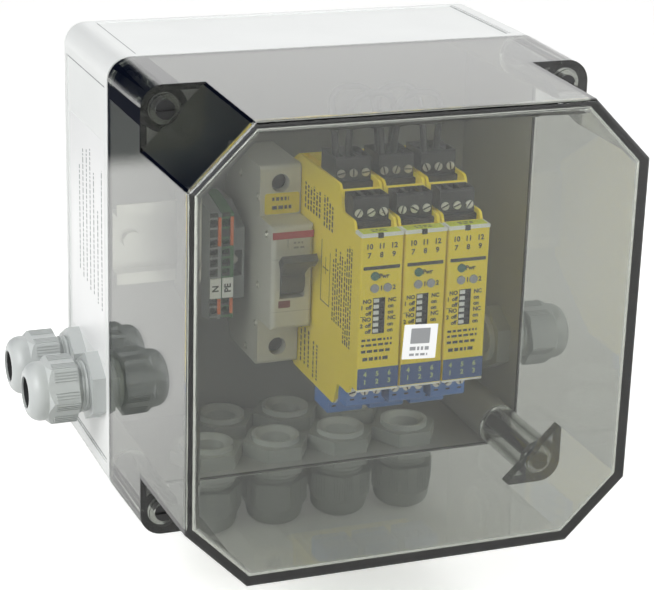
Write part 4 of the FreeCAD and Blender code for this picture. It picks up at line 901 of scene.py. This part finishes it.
def makeSticker(film):
    chance = random.Random(2)
    paper, marks = bmesh.new(), bmesh.new()
    half, (wide, tall) = film["size"] / 2, film["field"]
    face, top, fieldTop = film["film"], film["film"] + film["ink"], half - film["fieldMargin"]
    addPlate(paper, at(-half, 0, -half), at(half, face, half), 1, film["round"])
    addPlate(marks, at(-wide / 2, face, fieldTop - tall), at(wide / 2, top, fieldTop), 1, film["fieldRound"])
    for level, thick in film["rows"]:
        addFinePrint(marks, chance, (-wide / 2, face, level - half), wide, thick, lift=(0, film["ink"], 0))
    across, up = film["middle"]
    askew = Matrix.Rotation(math.radians(-film["askew"]), 4, "Y")
    put = Matrix.Translation(at(across, span("lid")["front"], up)) @ askew
    for name, mesh, finish, slot in (("stickerPaper", paper, "labelWhite", "tag_white"),
                                     ("stickerPrint", marks, "inkGrey", "terminal_grey")):
        mesh.transform(put)
        keepPiece(name, mesh, finish, "lid")


makeRelayPrint(relayPrint)
makeSidePrint(sidePrint)
makeBlueFields(blueField)
makeMarkerDetails(markerCards)
makeSticker(sticker)
print("relay print, fields and sticker made")

# Breaker: yellow label with bars, red stripe, dark red state window, seams and small print. Fields are
# (start, end, low, high), the stripe is (low, high), and print and mark are (across, up).
breakerMarks = {"noseRise": 16.0, "label": (2.0, 16.9, 22.1, 30.9), "labelFilm": 0.1, "labelRound": 1.0,
                "labelRows": (27.7, 24.1), "rowInset": 3.2, "rowLength": 8.4, "rowThick": 1.5,
                "stripe": (16.6, 19.5), "stripeThick": 0.05, "stripeMargin": 0.05,
                "window": (3.0, 8.05, -12.4, -9.4), "windowThick": 0.06, "windowRound": 0.3,
                "print": (9.0, 15.1), "printLength": 4.6, "printPitch": -2.0, "printThick": 0.8,
                "mark": (6.4, 12.9), "markWidth": 0.3, "markHeight": 3.6,
                "seams": (8.1, -14.1), "seamMargin": 0.3, "seamHeight": 0.15}


def makeBreakerMarks(marks):
    chance = random.Random(4)
    yellow, black, red, flag, grey = [bmesh.new() for _ in range(5)]
    nose, left, width = breaker["front"], breaker["left"], breaker["right"] - breaker["left"]
    shoulder = nose - marks["noseRise"]

    def spot(across, depth, up):
        return at(left + across, depth, railLevel + up)

    start, end, low, high = marks["label"]
    face = shoulder + marks["labelFilm"]
    addPlate(yellow, spot(start, shoulder, low), spot(end, face, high), 1, marks["labelRound"])
    for level in marks["labelRows"]:
        corner = (left + start + marks["rowInset"], face, railLevel + level)
        addFinePrint(black, chance, corner, marks["rowLength"], marks["rowThick"])
    (low, high), margin = marks["stripe"], marks["stripeMargin"]
    addBlock(red, spot(margin, nose, low), spot(width - margin, nose + marks["stripeThick"], high))
    start, end, low, high = marks["window"]
    addPlate(flag, spot(start, nose, low), spot(end, nose + marks["windowThick"], high), 1,
             marks["windowRound"])
    across, up = marks["print"]
    addFinePrint(grey, chance, (left + across, nose, railLevel + up), marks["printLength"],
                 marks["printThick"], step=(0, 0, marks["printPitch"]), rows=2)
    across, up = marks["mark"]
    addBlock(grey, spot(across, nose, up),
             spot(across + marks["markWidth"], nose + ink, up + marks["markHeight"]))
    margin, tall = marks["seamMargin"], marks["seamHeight"]
    for level in marks["seams"]:
        addBlock(grey, spot(margin, nose, level), spot(width - margin, nose + ink, level + tall))
    keepPiece("breakerLabel", yellow, "labelYellow")
    keepPiece("breakerLabelPrint", black, "inkBlack")
    keepPiece("breakerStripe", red, "stripeRed")
    keepPiece("breakerStateWindow", flag, "windowRed")
    keepPiece("breakerSmallPrint", grey, "inkGrey")


# Hollow rivets that hold the breaker's two half shells together, at (depth, up)
rivets = {"Rim radius": 1.25, "Wire radius": 0.42}
rivetPlaces = [(53.0, 29.5), (64.6, 17.1), (54.4, -7.5), (52.0, -25.0), (40.5, -39.0), (31.0, 33.5)]
rivetSides = {"rim": 24, "wire": 10}


def makeRivets(sizes, spots, sides):
    tree, given = newTree("hollowRivet", sizes)
    rim = addNode(tree, "GeometryNodeCurvePrimitiveCircle",
                  inputs={"Resolution": sides["rim"], "Radius": given["Rim radius"]})
    bead = addNode(tree, "GeometryNodeCurvePrimitiveCircle",
                   inputs={"Resolution": sides["wire"], "Radius": given["Wire radius"]})
    ring = addNode(tree, "GeometryNodeCurveToMesh", inputs={"Curve": rim, "Profile Curve": bead})
    endTree(tree, given, ring)
    turned = Matrix.Rotation(-math.pi / 2, 4, "Y")
    places = [Matrix.Translation(at(breaker["left"], depth, railLevel + up)) @ turned for depth, up in spots]
    mesh = runTree(tree, places, sizes, "zincSteel")
    mesh.shade_smooth()
    keepPiece("breakerRivets", mesh, "zincSteel")


# Terminal tags: letters turned to read upwards
tagLetters = {"letters": {"neutral": "N", "earth": "PE"}, "height": 2.6, "weight": 0.12}


def makeTagLetters(tags):
    mesh = bmesh.new()
    for kind, word in tags["letters"].items():
        tag = span(kind + "_marker_tag")
        across, up = (tag["left"] + tag["right"]) / 2, (tag["low"] + tag["high"]) / 2
        addText(mesh, word, tags["height"], across, tag["front"] + ink, up, turn=math.pi / 2,
                weight=tags["weight"])
    keepPiece("terminalTagLetters", mesh, "inkBlack")


# Label on the left side of the base: white film with grey bars, each row with its depth, foot and length
sideLabel = {"deep": (9.0, 60.5), "up": (-36.0, 55.0), "film": 0.1, "round": 1.0, "rowThick": 1.1,
             "rows": ((22.0, -8.0, 46.0), (27.5, -10.0, 58.0), (33.0, -10.0, 60.0), (38.5, -12.0, 62.0),
                      (44.0, -12.0, 60.0), (50.0, -14.0, 44.0), (56.0, -15.0, 66.0))}


def makeSideLabel(label):
    chance = random.Random(6)
    film, bars = bmesh.new(), bmesh.new()
    face = base["left"] + panelRecess
    top = face - label["film"]
    (back, front), (low, high) = label["deep"], label["up"]
    addPlate(film, at(face, back, low), at(top, front, high), 0, label["round"])
    for depth, foot, length in label["rows"]:
        addFinePrint(bars, chance, (top, depth, foot), length, label["rowThick"], run=upward, step=outward,
                     lift=(-ink, 0, 0))
    keepPiece("ratingLabel", film, "labelWhite")
    keepPiece("ratingLabelPrint", bars, "inkGrey")


# Painted shade lines along the edges of the base's recessed panels, set in far enough to clear the raised
# edge
panelLines = {"margin": 12.75, "width": 0.45, "thick": 0.05, "deep": (5.2, 63.8)}


def makePanelLines(lines):
    mesh = bmesh.new()
    margin, width, thick, (back, front) = lines["margin"], lines["width"], lines["thick"], lines["deep"]
    top, left = base["high"] - panelRecess, base["left"] + panelRecess
    for across in (base["left"] + margin, base["right"] - margin - width):
        addBlock(mesh, at(across, back, top), at(across + width, front, top + thick))
    for up in (base["low"] + margin, base["high"] - margin - width):
        addBlock(mesh, at(left, back, up), at(left - thick, front, up + width))
    keepPiece("basePanelLines", mesh, "inkGrey")


# Painted shade: dark films stand for the wire entry openings under the screws of the lower plugs
wireEntry = {"halfWidth": 0.9, "halfHeight": 0.35, "thick": 0.05, "round": 0.15}


def makeWireEntries(entry, rows):
    mesh = bmesh.new()
    wide, tall = entry["halfWidth"], entry["halfHeight"]
    for centre in relayCentres:
        for setback, height in zip(rows["setbacks"], rows["entries"]):
            for pole in (-1, 0, 1):
                across, depth, up = centre + pole * rows["pitch"], relayFront - setback, railLevel + height
                addPlate(mesh, at(across - wide, depth, up - tall),
                         at(across + wide, depth + entry["thick"], up + tall), 1, entry["round"])
    # painted shade for the openings, in the black ink finish
    keepPiece("plugWireEntries", mesh, "inkBlack")


makeBreakerMarks(breakerMarks)
makeRivets(rivets, rivetPlaces, rivetSides)
makeTagLetters(tagLetters)
makeSideLabel(sideLabel)
makePanelLines(panelLines)
makeWireEntries(wireEntry, plugRows)
print("breaker, terminal and label details made")

print("all pieces placed")
